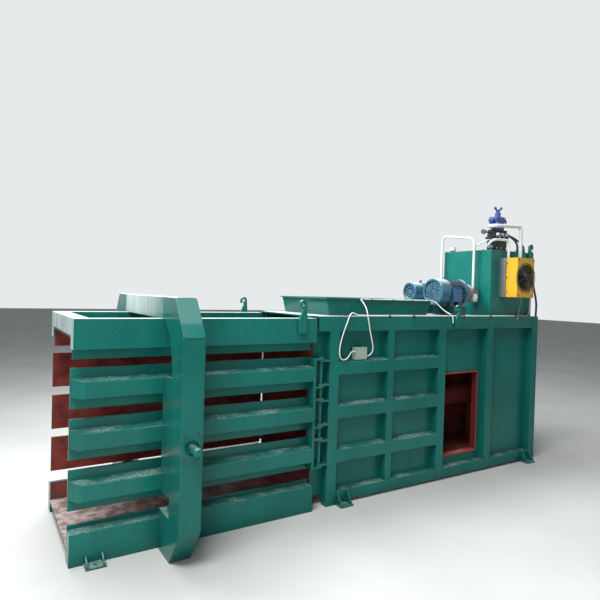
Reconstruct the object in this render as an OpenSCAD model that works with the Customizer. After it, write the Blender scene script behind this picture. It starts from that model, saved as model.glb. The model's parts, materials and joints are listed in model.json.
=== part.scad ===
// Horizontal recycling baler with squeeze side walls.
// +X runs from the bale exit to the power end, -Y is the access side, +Z is up.
// The origin is on the ground, in the middle of the machine.

/* [Body] */
// Width over the outer faces of the channel beams
body_w = 1080; // [1000:10:1200]
// Height of the channel's top faces
body_h = 1600; // [1560:5:1680]
// Height of the deck over the channel's top faces
deck_rise = 16; // [0:1:40]
// Depth from the beams' outer faces to the wall plates
wall_inset = 95; // [85:1:110]
// Thickness of the wall plates
wall_t = 16; // [12:1:20]
// Height of the floor plate's top
floor_top = 100; // [90:1:115]
// Distance of the chamber rails behind the channel beams' outer faces
rail_inset = 20; // [10:1:30]

/* [Bale channel] */
// Length of the channel beams
channel_len = 1860; // [1840:5:1880]
// Height of the channel's top beams
top_beam_h = 200; // [180:1:220]
// Height of the channel's bottom beams
bottom_beam_h = 212; // [200:1:225]
// Plate thickness of beams, rails and posts
beam_t = 10; // [8:1:14]
// Height of the wall strip that hangs below a top beam
top_strip_h = 72; // [50:1:85]
// Height of the wall strip that stands above a bottom beam
sill_h = 27; // [10:1:40]
// Height of the exit cross beam
cross_h = 114; // [100:1:130]
// Depth of the exit cross beam
cross_depth = 110; // [80:5:160]

/* [Squeeze walls] */
// Height of the slot under the lowest wall finger
low_slot = 91; // [80:1:100]
// Height of the slots between the fingers
slot_h = 66; // [50:1:80]
// Height of the slot over the top finger
top_slot = 56; // [40:1:70]
// Height of a stiffening rib
rib_h = 118; // [90:1:130]
// Length of a rib's tapered nose
rib_nose = 77; // [60:1:100]
// Distance of the hinge axis beyond the channel beams
hinge_gap = 80; // [76:1:84]
// Distance of the hinge axis behind the beams' outer faces
hinge_inset = 45; // [42:1:50]
// Radius of the hinge pins
pin_r = 15; // [12:1:17]
// Thickness of a hinge plate
lug_t = 14; // [10:1:16]
// Distance that the push beam stands out from the ribs
push_depth = 175; // [160:1:185]

/* [Yoke] */
// Distance from the exit to the yoke
yoke_x = 578; // [520:1:700]
// Length of the yoke along the channel
yoke_len = 148; // [140:1:180]
// Distance that the yoke stands out from the channel beams
yoke_reach = 415; // [400:1:460]
// Depth of a yoke column
yoke_leg = 205; // [190:1:215]
// Height of the yoke's top over the channel
yoke_rise = 150; // [140:1:200]
// Radius of a squeeze rod
squeeze_rod_r = 35; // [30:1:38]

/* [Chamber] */
// Height of the chamber's upper rails
rail_h = 128; // [110:1:140]
// Height of the lower rails' top over the ground
lower_rail_h = 119; // [100:1:130]
// Gap under the lower rails
rail_clear = 25; // [10:1:40]
// Height of the lowest panel of the chamber's sides
low_panel = 240; // [200:1:260]
// Distance from the channel's end to the front post
post_gap = 152; // [140:1:165]
// Width of the front post
post_w = 100; // [80:1:110]
// Width of the middle post
mid_post_w = 70; // [60:1:100]
// Distance from the hopper's foot to the post behind it
shear_gap = 52; // [40:1:70]
// Width of the post behind the hopper
shear_post_w = 94; // [80:1:110]

/* [Ram] */
// Distance of the ram's face behind the feed opening, at rest
ram_rest = 2; // [0:1:5]
// Length of the ram's head
ram_head_len = 168; // [140:1:175]
// Clearance round the ram's head
ram_gap = 5; // [3:0.5:8]
// Stroke of the ram
ram_stroke = 1200; // [1000:10:1200]
// Height of the main cylinder's axis
main_z = 700; // [600:5:800]
// Outer radius of the main cylinder
main_r = 110; // [90:1:120]
// Radius of the main piston rod
main_rod_r = 50; // [40:1:60]

/* [Rear housing] */
// Distance from the post behind the hopper to the access window
window_gap = 44; // [30:1:60]
// Width of the access window
window_w = 500; // [400:5:520]
// Height of the access window's lower edge
window_z = 210; // [180:1:260]
// Height of the access window
window_h = 835; // [700:5:900]
// Distance from the access window to the rear middle post
rear_post_gap = 70; // [60:1:90]
// Width of the rear middle post
rear_post_w = 98; // [80:1:110]
// Width of the end posts
end_post_w = 95; // [70:1:100]

/* [Feed hopper] */
// Distance from the channel's end to the hopper's front plate
hopper_gap = 230; // [220:1:250]
// Length of the hopper at its foot
hopper_len = 1170; // [1150:1:1180]
// Half width of the hopper at its foot
hopper_half_w = 380; // [340:1:385]
// Height of the hopper
hopper_h = 155; // [120:1:300]
// Thickness of the hopper's sheet
hopper_t = 8; // [6:1:10]

/* [Power pack] */
// Distance from the rear middle post's front edge to the oil tank
tank_gap = 115; // [105:1:130]
// Length of the oil tank
tank_len = 710; // [680:1:785]
// Distance from the oil tank to the rear end
tank_end_gap = 25; // [15:1:60]
// Width of the oil tank
tank_w = 655; // [600:1:700]
// Height of the oil tank
tank_h = 712; // [650:1:760]
// Distance from the channel beams' outer faces to the tank's access side
tank_inset = 100; // [95:1:110]
// Height of the motors' axes above the deck
motor_z = 240; // [225:1:260]
// Radius of the near motor's cowl
motor_r = 138; // [120:1:145]
// Radius of the far motor's cowl
motor_far_r = 103; // [95:1:110]
// Radius of the oil cooler's fan
fan_r = 132; // [120:1:134]

/* [Hidden] */
$fn = 48;
paint = [0.07, 0.40, 0.34];
primer = [0.42, 0.10, 0.08];
seat = 0.3;               // gap of a piece that rests on another body
bore_gap = 0.05;          // radial clearance of a running fit
half_w = body_w / 2;
wall_out = half_w - wall_inset;
wall_in = wall_out - wall_t;
rail_y = half_w - rail_inset;
post_d = rail_y - wall_out;
ceiling = body_h - cross_h;              // top of the channel's ceiling plate
deck_h = body_h + deck_rise;
rail_z = deck_h - rail_h;
hopper_x = channel_len + hopper_gap;
hopper_end = hopper_x + hopper_len;
post_x = channel_len + post_gap;
shear_post_x = hopper_end + shear_gap;
mid_post_x = (post_x + shear_post_x) / 2;
ram_x = hopper_end + ram_rest;
window_x = shear_post_x + shear_post_w + window_gap;
rear_post_x = window_x + window_w + rear_post_gap;
tank_x = rear_post_x + tank_gap;
body_len = tank_x + tank_len + tank_end_gap;
panel_h = (rail_z - lower_rail_h - low_panel - 3 * rib_h) / 3;
chamber_rib_z = [for (i = [0:2]) lower_rail_h + low_panel + rib_h / 2 + i * (panel_h + rib_h)];
hinge_x = channel_len + hinge_gap;
hinge_y = half_w - hinge_inset;
lug_r = 35;
wall_x = channel_len + 30;               // front edge of the chamber's wall plates
wall_split_x = shear_post_x + 18;        // joint between the chamber's and the rear housing's wall plates
end_x = body_len - wall_t;               // inner face of the rear end plate
col_out = half_w + yoke_reach;
col_in = col_out - yoke_leg;
squeeze_x = yoke_x + yoke_len / 2;
yoke_end = yoke_x + yoke_len;
yoke_h = body_h + yoke_rise;
yoke_lap = 20;                           // the yoke's columns reach this far over the beams
push_face = half_w + push_depth;
deck_t = 12;
near = -1;
far = 1;
finger_z = bottom_beam_h + sill_h + low_slot;
finger_h = (body_h - top_beam_h - top_strip_h - top_slot - finger_z - 2 * slot_h) / 3;
finger_zs = [for (i = [0:2]) finger_z + i * (finger_h + slot_h)];
squeeze_z = finger_zs[1] + finger_h / 2;

// Moves children from the exit end's frame to the machine's frame.
module from_exit() { translate([-body_len / 2, 0, 0]) children(); }

// A plain block between two opposite corners.
module block(low, high) { translate(low) cube(high - low); }

// A block from x0 to x1 and z0 to z1 on one side, between two distances from the middle plane.
module side_block(side, x0, x1, in, out, z0, z1) {
    translate([x0, side > 0 ? in : -out, z0]) cube([x1 - x0, out - in, z1 - z0]);
}

// Children on the access side and mirrored to the far side.
module both_sides() {
    children();
    mirror([0, 1, 0]) children();
}

// A round bar along one axis, starting at a point.
module bar_x(at, len, r) { translate(at) rotate([0, 90, 0]) cylinder(h = len, r = r); }
module bar_y(at, len, r) { translate(at) rotate([-90, 0, 0]) cylinder(h = len, r = r); }
module bar_z(at, len, r) { translate(at) cylinder(h = len, r = r); }

// Extrudes a (Y, Z) outline along X.
module along_x(x, len) { translate([x, 0, 0]) rotate([90, 0, 90]) linear_extrude(len) children(); }

// Extrudes an (X, Z) outline along Y, from y to y + len.
module along_y(y, len) { translate([0, y + len, 0]) rotate([90, 0, 0]) linear_extrude(len) children(); }

// Unit vector.
function unit(v) = v / norm(v);
// Direction of a path at point i.
function dir_at(p, i) = i == 0 ? unit(p[1] - p[0])
    : i == len(p) - 1 ? unit(p[i] - p[i - 1])
    : unit(unit(p[i + 1] - p[i]) + unit(p[i] - p[i - 1]));
// The part of s across direction d.
function across(s, d) = unit(s - d * (s * d));
// A side vector at each point, carried along the path without twist.
function side_vectors(p, first) = [for (i = 0, s = across(first, dir_at(p, 0)); i < len(p);
    i = i + 1, s = i < len(p) ? across(s, dir_at(p, i)) : s) s];
// A smooth curve through points, with n steps a span.
function curve(p, n) = concat([for (i = [0:len(p) - 2], k = [0:n - 1])
    let (a = p[max(i - 1, 0)], b = p[i], c = p[i + 1], d = p[min(i + 2, len(p) - 1)], t = k / n)
        0.5 * (2 * b + (c - a) * t + (2 * a - 5 * b + 4 * c - d) * t * t + (3 * b - a - 3 * c + d) * t * t * t)],
    [p[len(p) - 1]]);
// A polyline with its corners rounded off over a length r, in n steps.
function rounded(p, r, n) = concat([p[0]], [for (i = [1:len(p) - 2], k = [0:n])
    let (a = p[i] + unit(p[i - 1] - p[i]) * r, c = p[i] + unit(p[i + 1] - p[i]) * r, t = k / n)
        (1 - t) * (1 - t) * a + 2 * t * (1 - t) * p[i] + t * t * c], [p[len(p) - 1]]);
// A round tube swept along a path.
module tube(path, r, sides, first = [0, 0, 1]) {
    s = side_vectors(path, first);
    rings = [for (i = [0:len(path) - 1]) let (d = dir_at(path, i), u = s[i], v = cross(d, u))
        for (k = [0:sides - 1]) path[i] + r * (cos(360 * k / sides) * u + sin(360 * k / sides) * v)];
    last = len(path) - 1;
    polyhedron(rings, concat([[for (k = [0:sides - 1]) k]],
        [for (i = [0:last - 1], k = [0:sides - 1]) let (n = (k + 1) % sides, a = i * sides)
            [a + k, a + sides + k, a + sides + n, a + n]],
        [[for (k = [sides - 1:-1:0]) last * sides + k]]));
}

// Box beam of the channel in section: outer web, flanges and the wall plate behind them.
module channel_beam_section(low, high, plate_low, plate_high) {
    difference() {
        polygon([[-half_w, low], [-half_w, high], [-wall_in, high], [-wall_in, low]]);
        polygon([[-half_w + beam_t, low + beam_t], [-half_w + beam_t, high - beam_t],
            [-wall_out, high - beam_t], [-wall_out, low + beam_t]]);
    }
    translate([-wall_out, plate_low]) square([wall_t, plate_high - plate_low]);
}
module channel_floor() {
    color(primer) from_exit() block([0, -wall_in, floor_top - wall_t], [channel_len, wall_in, floor_top]);
}
module bottom_beams() {
    color(paint) from_exit() both_sides() {
        along_x(beam_t, channel_len - beam_t)
            channel_beam_section(0, bottom_beam_h, 0, bottom_beam_h + sill_h);
        block([0, -half_w, 0], [beam_t, -wall_in, bottom_beam_h]);
        block([0, -wall_out, 0], [beam_t, -wall_in, bottom_beam_h + sill_h]);
    }
}
module top_beams() {
    low = body_h - top_beam_h;
    color(paint) from_exit() both_sides()
        along_x(beam_t, channel_len - beam_t) channel_beam_section(low, body_h, low - top_strip_h, body_h);
}
module exit_cross_beam() {
    low = body_h - top_beam_h;
    color(paint) from_exit() {
        along_x(0, beam_t) polygon([[-half_w, low], [-half_w, body_h], [half_w, body_h], [half_w, low],
            [wall_in, low], [wall_in, ceiling], [-wall_in, ceiling], [-wall_in, low]]);
        difference() {
            block([beam_t, -wall_in, ceiling], [cross_depth, wall_in, body_h]);
            block([beam_t, -wall_in - 1, ceiling - 1], [cross_depth - beam_t, wall_in + 1, body_h - beam_t]);
        }
    }
}
module channel_top_plate() {
    stiffener_t = 12;
    cross_stiffener_h = 70;
    long_stiffener_h = 50;
    front_inset = 120;
    bays = 4;
    bay = (channel_len - yoke_end) / bays;
    color(paint) from_exit() {
        block([0, -wall_in, ceiling - wall_t], [hopper_x - deck_t, wall_in, ceiling]);
        for (x = concat([yoke_x - front_inset], [for (i = [1 : bays - 1]) yoke_end + i * bay]))
            block([x, -wall_in, ceiling], [x + stiffener_t, wall_in, ceiling + cross_stiffener_h]);
        for (y = [-wall_in / 3, wall_in / 3])
            block([cross_depth, y, ceiling], [channel_len, y + stiffener_t, ceiling + long_stiffener_h]);
    }
}
// Cross channels that carry the floor plates, at even steps before and behind the yoke's tie.
module floor_bearers() {
    top = floor_top - wall_t;
    w = 70;
    front_x = 20;
    rear_bays = 11;
    step = (end_x - w - yoke_end) / rear_bays;
    color(paint) from_exit()
        for (x = concat([front_x, (yoke_x - w) / 2], [for (i = [1 : rear_bays]) yoke_end + i * step]))
            difference() {
                block([x, -wall_in, 0], [x + w, wall_in, top]);
                block([x + beam_t, -wall_in - 1, -1], [x + w - beam_t, wall_in + 1, top - beam_t]);
            }
}

// Outline of the near yoke column with its haunches.
module yoke_outline() {
    foot_out = 240;
    foot_rise = 250;
    low_web = bottom_beam_h + 71;
    haunch = [[125, 100], [180, 200]];
    haunch_foot = body_h - 320;
    polygon(concat([[-half_w - foot_out, 0], [-col_out, foot_rise], [-col_out, yoke_h - cap_drop],
        [-col_out + cap_run, yoke_h], [-half_w + yoke_lap, yoke_h], [-half_w + yoke_lap, body_h], [-half_w, body_h]],
        [for (p = haunch) [-half_w - p[0], body_h - p[1]]],
        [[-col_in, haunch_foot], [-col_in, low_web], [-half_w, low_web], [-half_w, 0]]));
}
cap_run = 185;             // the yoke's upper slope, across the machine
cap_drop = 253;            // and down
bolt_dx = 47;              // half spacing of the squeeze cylinders' bolts along the channel
bolt_dz = 80;              // and up
bolt_r = 6;
stub_r = 28;
stub_hole_r = 48;
barrel_r = 55;
module yoke_columns() {
    t = beam_t + 6;
    color(paint) from_exit() both_sides() difference() {
        union() {
            along_x(yoke_x, yoke_len) yoke_outline();
            yoke_cap();
        }
        block([yoke_x + t, -col_out + t, bottom_beam_h + 100], [yoke_x + yoke_len - t, -col_in - t, body_h - 330]);
        bar_y([squeeze_x, -col_out - 1, squeeze_z], t + 2, stub_hole_r);
        bar_y([squeeze_x, -col_in - t - 1, squeeze_z], t + 2, barrel_r + 1);
        for (dx = [-bolt_dx, bolt_dx], dz = [-bolt_dz, bolt_dz])
            bar_y([squeeze_x + dx, -col_out - 1, squeeze_z + dz], t + 2, bolt_r + 1);
    }
}
// Proud cap plate with round corners on the yoke's upper slope.
module yoke_cap() {
    slope = atan2(cap_drop, cap_run);
    run = norm([cap_drop, cap_run]);
    r = 22;
    translate([yoke_x, -col_out, yoke_h - cap_drop]) rotate([slope, 0, 0]) translate([0, 0, -1])
        linear_extrude(7) {
            translate([r, 0]) square([yoke_len - 2 * r, run]);
            translate([0, r]) square([yoke_len, run - 2 * r]);
            for (x = [r, yoke_len - r], y = [r, run - r]) translate([x, y]) circle(r = r);
        }
}
module yoke_top_beam() {
    inner = half_w - yoke_lap;
    t = beam_t + 6;
    color(paint) from_exit() difference() {
        block([yoke_x, -inner, body_h], [yoke_x + yoke_len, inner, yoke_h]);
        block([yoke_x + t, -inner - 1, body_h + t], [yoke_x + yoke_len - t, inner + 1, yoke_h - t]);
    }
}
module yoke_bottom_tie() {
    top = floor_top - wall_t;
    color(paint) from_exit() difference() {
        block([yoke_x, -wall_in, 0], [yoke_x + yoke_len, wall_in, top]);
        block([yoke_x + beam_t, -wall_in - 1, beam_t], [yoke_x + yoke_len - beam_t, wall_in + 1, top - beam_t]);
    }
}

// Heights of a finger's two hinge plates, at their lower faces.
function lug_zs(z) = [z + 15, z + finger_h - 22];
// Outline of a hinge plate: round about the pin, straight to x.
module hinge_plate(x, z, r) {
    difference() {
        union() {
            bar_z([hinge_x, -hinge_y, z], lug_t, lug_r);
            block([min(x, hinge_x), -hinge_y - lug_r, z], [max(x, hinge_x), -hinge_y + lug_r, z + lug_t]);
        }
        bar_z([hinge_x, -hinge_y, z - 1], lug_t + 2, r);
    }
}
module hinge_brackets() {
    color(paint) from_exit() both_sides() for (z = finger_zs) {
        hinge_plate(post_x, lug_zs(z)[0] + lug_t + 1, pin_r + bore_gap);
        hinge_plate(post_x, lug_zs(z)[1] - lug_t - 1, pin_r + bore_gap);
    }
}
module hinge_pins() {
    low = lug_zs(finger_zs[0])[0] - 12;
    high = lug_zs(finger_zs[2])[1] + lug_t + seat;
    color(paint) from_exit() both_sides() {
        bar_z([hinge_x, -hinge_y, low], high - low + 6, pin_r);
        bar_z([hinge_x, -hinge_y, high], 12, pin_r + 9);
    }
}

// Straight hat rib with a sloped top, on the near side, from x0 to x1.
module rib(x0, x1, z, out, in) {
    along_x(x0, x1 - x0) polygon([[-in, z - rib_h / 2], [-out + 6, z - rib_h / 2], [-out, z - rib_h / 2 + 6],
        [-out, z + rib_h / 2 - 8], [-out + 5, z + rib_h / 2 - 2], [-in, z + rib_h / 2 + 8]]);
}
// Tapered front end of a finger's rib, cut from the straight rib.
module finger_rib(z) {
    bar_end = channel_len - 15;
    intersection() {
        rib(0, bar_end, z, half_w, wall_out);
        translate([0, 0, z - rib_h]) linear_extrude(2 * rib_h) polygon([[4, -wall_out + 1], [10, -wall_out - 14],
            [rib_nose - 22, -half_w + 12], [rib_nose - 8, -half_w + 3], [rib_nose + 8, -half_w - 1],
            [bar_end + 1, -half_w - 1], [bar_end + 1, -wall_out + 1]]);
    }
}
// The three fingers of the near wall, each a plate with its rib.
module wall_fingers() {
    for (z = finger_zs) {
        block([0, -wall_out, z], [channel_len + 8, -wall_in, z + finger_h]);
        finger_rib(z + finger_h / 2);
    }
}
// Upright box that the squeeze rod pushes on.
module push_beam() {
    t = 12;
    gap = 8;
    low = finger_zs[0] + finger_h / 2 - rib_h / 2 - 5;
    high = finger_zs[2] + finger_h / 2 + rib_h / 2 + 18;
    difference() {
        block([yoke_x + gap, -push_face, low], [yoke_x + yoke_len - gap, -half_w, high]);
        block([yoke_x + gap + t, -push_face + t, low - 1], [yoke_x + yoke_len - gap - t, -half_w - t, high + 1]);
    }
}
// Upright at the rear end of the fingers, with the moving hinge plates.
module hinge_bar() {
    x0 = channel_len - 15;
    x1 = channel_len + 5;
    low = lug_zs(finger_zs[0])[0];
    high = lug_zs(finger_zs[2])[1] + lug_t;
    block([x0, -half_w, low], [x1, -wall_out, high]);
    for (z = finger_zs, lug_z = lug_zs(z)) hinge_plate(x1, lug_z, pin_r + bore_gap);
}
module near_fingers() { color(paint) from_exit() wall_fingers(); }
module near_push_beam() { color(paint) from_exit() push_beam(); }
module near_hinge_bar() { color(paint) from_exit() hinge_bar(); }
module far_fingers() { color(paint) from_exit() mirror([0, 1, 0]) wall_fingers(); }
module far_push_beam() { color(paint) from_exit() mirror([0, 1, 0]) push_beam(); }
module far_hinge_bar() { color(paint) from_exit() mirror([0, 1, 0]) hinge_bar(); }

// Squeeze cylinder: flange inside the column, barrel, and the tail that shows outside.
cyl_start = -col_out + beam_t + 6;      // inner face of the column's outer plate
cyl_end = -col_in + 15;
module squeeze_cylinders() {
    bore_r = barrel_r - 10;
    gland = 30;
    tail = 118;
    color(paint) from_exit() both_sides() difference() {
        union() {
            block([squeeze_x - bolt_dx - 9, cyl_start, squeeze_z - bolt_dz - 20],
                [squeeze_x + bolt_dx + 9, cyl_start + 20, squeeze_z + bolt_dz + 20]);
            bar_y([squeeze_x, cyl_start, squeeze_z], cyl_end - cyl_start, barrel_r);
            translate([squeeze_x, -col_out - tail, squeeze_z]) rotate([-90, 0, 0])
                rotate_extrude() polygon([[0, 0], [stub_r - 7, 0], [stub_r, 9], [stub_r, tail + 30], [0, tail + 30]]);
        }
        bar_y([squeeze_x, cyl_start + 35, squeeze_z], cyl_end - gland - cyl_start - 35, bore_r);
        bar_y([squeeze_x, cyl_end - gland - 1, squeeze_z], gland + 2, squeeze_rod_r + bore_gap);
        bar_x([squeeze_x, -col_out - tail + 45, squeeze_z], stub_r + 5, 9);
    }
}
// Rod with its piston and a domed nose that bears on the push beam.
module squeeze_rod() {
    start = cyl_start + 60;
    tip = -push_face - seat;
    dome = 60;                          // radius of the nose
    drop = dome - sqrt(dome * dome - 24 * 24);
    piston_r = barrel_r - 10 - bore_gap;
    translate([squeeze_x, start, squeeze_z]) rotate([-90, 0, 0]) rotate_extrude()
        polygon(concat([[0, 0], [piston_r, 0], [piston_r, 25], [squeeze_rod_r, 25],
            [squeeze_rod_r, tip - start - drop - 6], [24, tip - start - drop]],
            [for (a = [20:-4:0]) [dome * sin(a), tip - start - dome + dome * cos(a)]]));
}
module squeeze_rod_near() { color("silver") from_exit() squeeze_rod(); }
module squeeze_rod_far() { color("silver") from_exit() mirror([0, 1, 0]) squeeze_rod(); }
module squeeze_bolts() {
    color("dimgray") from_exit() both_sides() for (dx = [-bolt_dx, bolt_dx], dz = [-bolt_dz, bolt_dz]) {
        bar_y([squeeze_x + dx, -col_out, squeeze_z + dz], beam_t + 6, bolt_r);
        translate([squeeze_x + dx, -col_out, squeeze_z + dz]) rotate([90, 0, 0]) cylinder(h = 7, r = 10, $fn = 6);
    }
}
// Bright rod with a nut at each end, lying in the slot on top of the lowest near finger.
module slot_rod() {
    r = 6;
    nut_r = 10;
    nut_len = 18;
    len = 660;
    x = yoke_end + 10;
    z = finger_zs[0] + finger_h + nut_r + seat;
    color("silver") from_exit() {
        bar_x([x, -wall_out + wall_t / 2, z], len, r);
        for (nx = [x, x + len - nut_len]) bar_x([nx, -wall_out + wall_t / 2, z], nut_len, nut_r);
    }
}

// A post: open hat section against the wall plate, on the near side.
module post(x, w, low, high) {
    difference() {
        block([x, -rail_y, low], [x + w, -wall_out, high]);
        block([x + beam_t, -rail_y + beam_t, low - 1], [x + w - beam_t, -wall_out - 0.001, high + 1]);
    }
}
module chamber_side() {
    block([wall_x, -wall_out, floor_top - wall_t], [wall_split_x, -wall_in, rail_z]);
    post(post_x, post_w, 0, rail_z);
    post(mid_post_x, mid_post_w, lower_rail_h, rail_z);
    post(shear_post_x, shear_post_w, lower_rail_h, rail_z);
    for (z = chamber_rib_z) {
        rib(post_x + post_w, mid_post_x, z, rail_y, wall_out);
        rib(mid_post_x + mid_post_w, shear_post_x, z, rail_y, wall_out);
    }
}
module chamber_wall_near() { color(paint) from_exit() chamber_side(); }
module chamber_wall_far() { color(paint) from_exit() mirror([0, 1, 0]) chamber_side(); }
module rear_side() {
    block([wall_split_x, -wall_out, floor_top - wall_t], [end_x, -wall_in, rail_z]);
    post(rear_post_x, rear_post_w, lower_rail_h, rail_z);
    post(body_len - end_post_w, end_post_w, 0, rail_z);
}
module rear_wall_near() {
    color(paint) from_exit() difference() {
        rear_side();
        block([window_x, -wall_out - 1, window_z], [window_x + window_w, -wall_in + 1, window_z + window_h]);
    }
}
module rear_wall_far() { color(paint) from_exit() mirror([0, 1, 0]) rear_side(); }
// Open box rail in section, between two distances from the middle plane.
module rail_section(in, out, low, high) {
    difference() {
        polygon([[-out, low], [-out, high], [-in, high], [-in, low]]);
        polygon([[-out + beam_t, low + beam_t], [-out + beam_t, high - beam_t], [-in - beam_t, high - beam_t],
            [-in - beam_t, low + beam_t]]);
    }
}
module upper_rails() {
    start = channel_len + 37;
    color(paint) from_exit() both_sides() {
        along_x(start, body_len - start) rail_section(wall_in, rail_y, rail_z, deck_h);
    }
}
module lower_rails() {
    start = post_x + post_w;
    color(paint) from_exit() both_sides()
        along_x(start, body_len - end_post_w - start) rail_section(wall_out, rail_y, rail_clear, lower_rail_h);
}
// Red reveal round the access window.
module window_frame() {
    t = 12;
    proud = 20;
    depth = 66;
    front = -wall_out - proud;
    color(primer) from_exit() difference() {
        block([window_x, front, window_z], [window_x + window_w, front + depth, window_z + window_h]);
        block([window_x + t, front - 1, window_z + t],
            [window_x + window_w - t, front + depth + 1, window_z + window_h - t]);
    }
}
module rear_end_plate() {
    color(paint) from_exit() {
        block([end_x, -wall_out, 0], [body_len, wall_out, rail_z]);
        block([end_x, -wall_in, rail_z], [body_len, wall_in, deck_h]);
    }
}
module body_floor() {
    color(primer) from_exit() block([channel_len, -wall_in, floor_top - wall_t], [end_x, wall_in, floor_top]);
}
// Deck plate with the feed opening, its front and rear bulkheads and its bearers.
module top_deck() {
    top = deck_h;
    bearer_gap = 4;
    color(paint) from_exit() {
        difference() {
            block([channel_len, -wall_in, top - deck_t], [end_x, wall_in, top]);
            block([hopper_x, -hopper_half_w, top - deck_t - 1], [hopper_end, hopper_half_w, top + 1]);
        }
        block([hopper_x - deck_t, -wall_in, ceiling - wall_t], [hopper_x, wall_in, top - deck_t]);
        for (x = [hopper_end + 20, tank_x - 260, tank_x + 120, tank_x + tank_len - 120])
            block([x, -wall_in, rail_z + bearer_gap], [x + deck_t, wall_in, top - deck_t]);
    }
}
// Sloped feed frame with a flat rim.
module feed_hopper() {
    flare = 35;
    rear_flare = 60;
    side_flare = 4;
    rim = 16;
    rim_t = 10;
    top = deck_h + hopper_h;
    color(paint) from_exit() difference() {
        union() {
            hull() {
                block([hopper_x, -hopper_half_w, deck_h], [hopper_end, hopper_half_w, deck_h + 0.1]);
                block([hopper_x - flare, -hopper_half_w - side_flare, top - rim_t],
                    [hopper_end + rear_flare, hopper_half_w + side_flare, top - rim_t + 0.1]);
            }
            block([hopper_x - flare - rim, -hopper_half_w - side_flare - rim, top - rim_t],
                [hopper_end + rear_flare + rim, hopper_half_w + side_flare + rim, top]);
        }
        hull() {
            block([hopper_x + hopper_t, -hopper_half_w + hopper_t, deck_h - 1],
                [hopper_end - hopper_t, hopper_half_w - hopper_t, deck_h]);
            block([hopper_x - flare + hopper_t, -hopper_half_w - side_flare + hopper_t, top],
                [hopper_end + rear_flare - hopper_t, hopper_half_w + side_flare - hopper_t, top + 1]);
        }
    }
}
// Flat lifting hook of height h: its foot from x, its tip towards the exit, its outer face at -hook_t.
hook_w = 80;
hook_t = 20;
hook_r = 32;
hook_eye_r = 15;
hook_tip = 27;             // the tip reaches this far below the eye
module hook(x, z, h) {
    eye = h - hook_r;
    mid = hook_w / 2;
    translate([x, 0, z]) along_y(-hook_t, hook_t) {
        difference() {
            union() {
                polygon([[0, 0], [hook_w, 0], [hook_w, h * 0.45], [mid + hook_r, eye], [mid + hook_eye_r, eye],
                    [mid + 5, eye - 40], [8, h * 0.42], [0, h * 0.3]]);
                translate([mid, eye]) circle(r = hook_r);
            }
            translate([mid, eye]) circle(r = hook_eye_r);
            translate([mid - hook_r - 1, eye - hook_r - 1]) square(hook_r + 1);
        }
        translate([mid - hook_r, eye - hook_tip]) square([hook_r - hook_eye_r, hook_tip + 1]);
    }
}
module lifting_hooks() {
    foot = 122;
    tank_end = tank_x + tank_len;
    color(paint) from_exit() {
        both_sides() {
            translate([0, -half_w, 0]) hook(channel_len - 190, body_h - foot, 270);
            translate([0, -rail_y, 0]) hook(window_x + 55, deck_h - foot, 235);
        }
        translate([2 * tank_end - 100, -tank_side, 0]) mirror([1, 0, 0])
            hook(tank_end - 90, tank_top - 60, 160);
    }
}
// Welded anchor foot with two gussets and a bolt hole, outside the near face at distance out.
foot_w = 90;
foot_t = 12;
anchor_r = 11;
module foot(x, len, out, rise) {
    gusset_t = 10;
    toe = 10;
    edge = 8;
    difference() {
        union() {
            block([x, -out - foot_w, 0], [x + len, -out, foot_t]);
            for (gx = [x + edge, x + len - edge - gusset_t])
                along_x(gx, gusset_t) polygon([[-out, foot_t - 1], [-out - foot_w + edge, foot_t - 1],
                    [-out - foot_w + edge, foot_t + toe], [-out, foot_t + rise]]);
        }
        bar_z([x + len / 2, -out - foot_w * 0.5, -1], foot_t + 2, anchor_r);
    }
}
foot_len = 130;
exit_foot_x = 90;
mid_foot_x = post_x + post_w;
rear_foot_x = body_len - end_post_w - foot_len;
module anchor_feet() {
    color(paint) from_exit() both_sides() {
        foot(exit_foot_x, foot_len, half_w, 46);
        foot(mid_foot_x, foot_len, rail_y, lower_rail_h - foot_t);
        foot(rear_foot_x, foot_len, rail_y, lower_rail_h - foot_t);
    }
}

// Ram head with its long top apron, which closes the feed opening behind it.
module ram_platen() {
    t = 30;
    half = wall_in - ram_gap;
    low = floor_top + ram_gap;
    high = ceiling - wall_t - ram_gap;
    apron_len = ram_stroke + 60;
    back = ram_x + ram_head_len;
    color(primer) from_exit() {
        difference() {
            block([ram_x, -half, low], [back, half, high]);
            block([ram_x + t, -half + t, low + t], [back + 1, half - t, high - t]);
        }
        block([back, -half, high - 20], [ram_x + apron_len, half, high]);
        for (y = [-half * 0.6, half * 0.6])
            block([back - 1, y - 10, high - 90], [ram_x + apron_len, y + 10, high - 19]);
        for (y = [-half * 0.6, half * 0.6])
            block([ram_x + t - 1, y - 10, low + t - 1], [back, y + 10, high - t + 1]);
        bar_x([ram_x + t - 1, 0, main_z], 41, main_rod_r + 40);
    }
}
// Main piston rod, from the ram head into the barrel.
barrel_x = ram_x + ram_head_len + 30;
main_bore_r = main_r - 20;
main_gland = 60;
main_cap = 50;
module ram_rod() {
    piston = 60;
    start = ram_x + 70;
    piston_x = end_x - main_cap - 6 - piston;
    color("silver") from_exit() {
        bar_x([start, 0, main_z], piston_x - start, main_rod_r);
        bar_x([piston_x, 0, main_z], piston, main_bore_r - bore_gap);
    }
}
module main_cylinder() {
    color(paint) from_exit() difference() {
        union() {
            bar_x([barrel_x, 0, main_z], end_x - barrel_x - 20, main_r);
            bar_x([barrel_x, 0, main_z], main_gland, main_r + 20);
            block([end_x - 40, -main_r - 30, main_z - main_r - 30], [end_x, main_r + 30, main_z + main_r + 30]);
        }
        bar_x([barrel_x + main_gland, 0, main_z], end_x - main_cap - barrel_x - main_gland, main_bore_r);
        bar_x([barrel_x - 1, 0, main_z], main_gland + 2, main_rod_r + bore_gap);
    }
}
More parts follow.
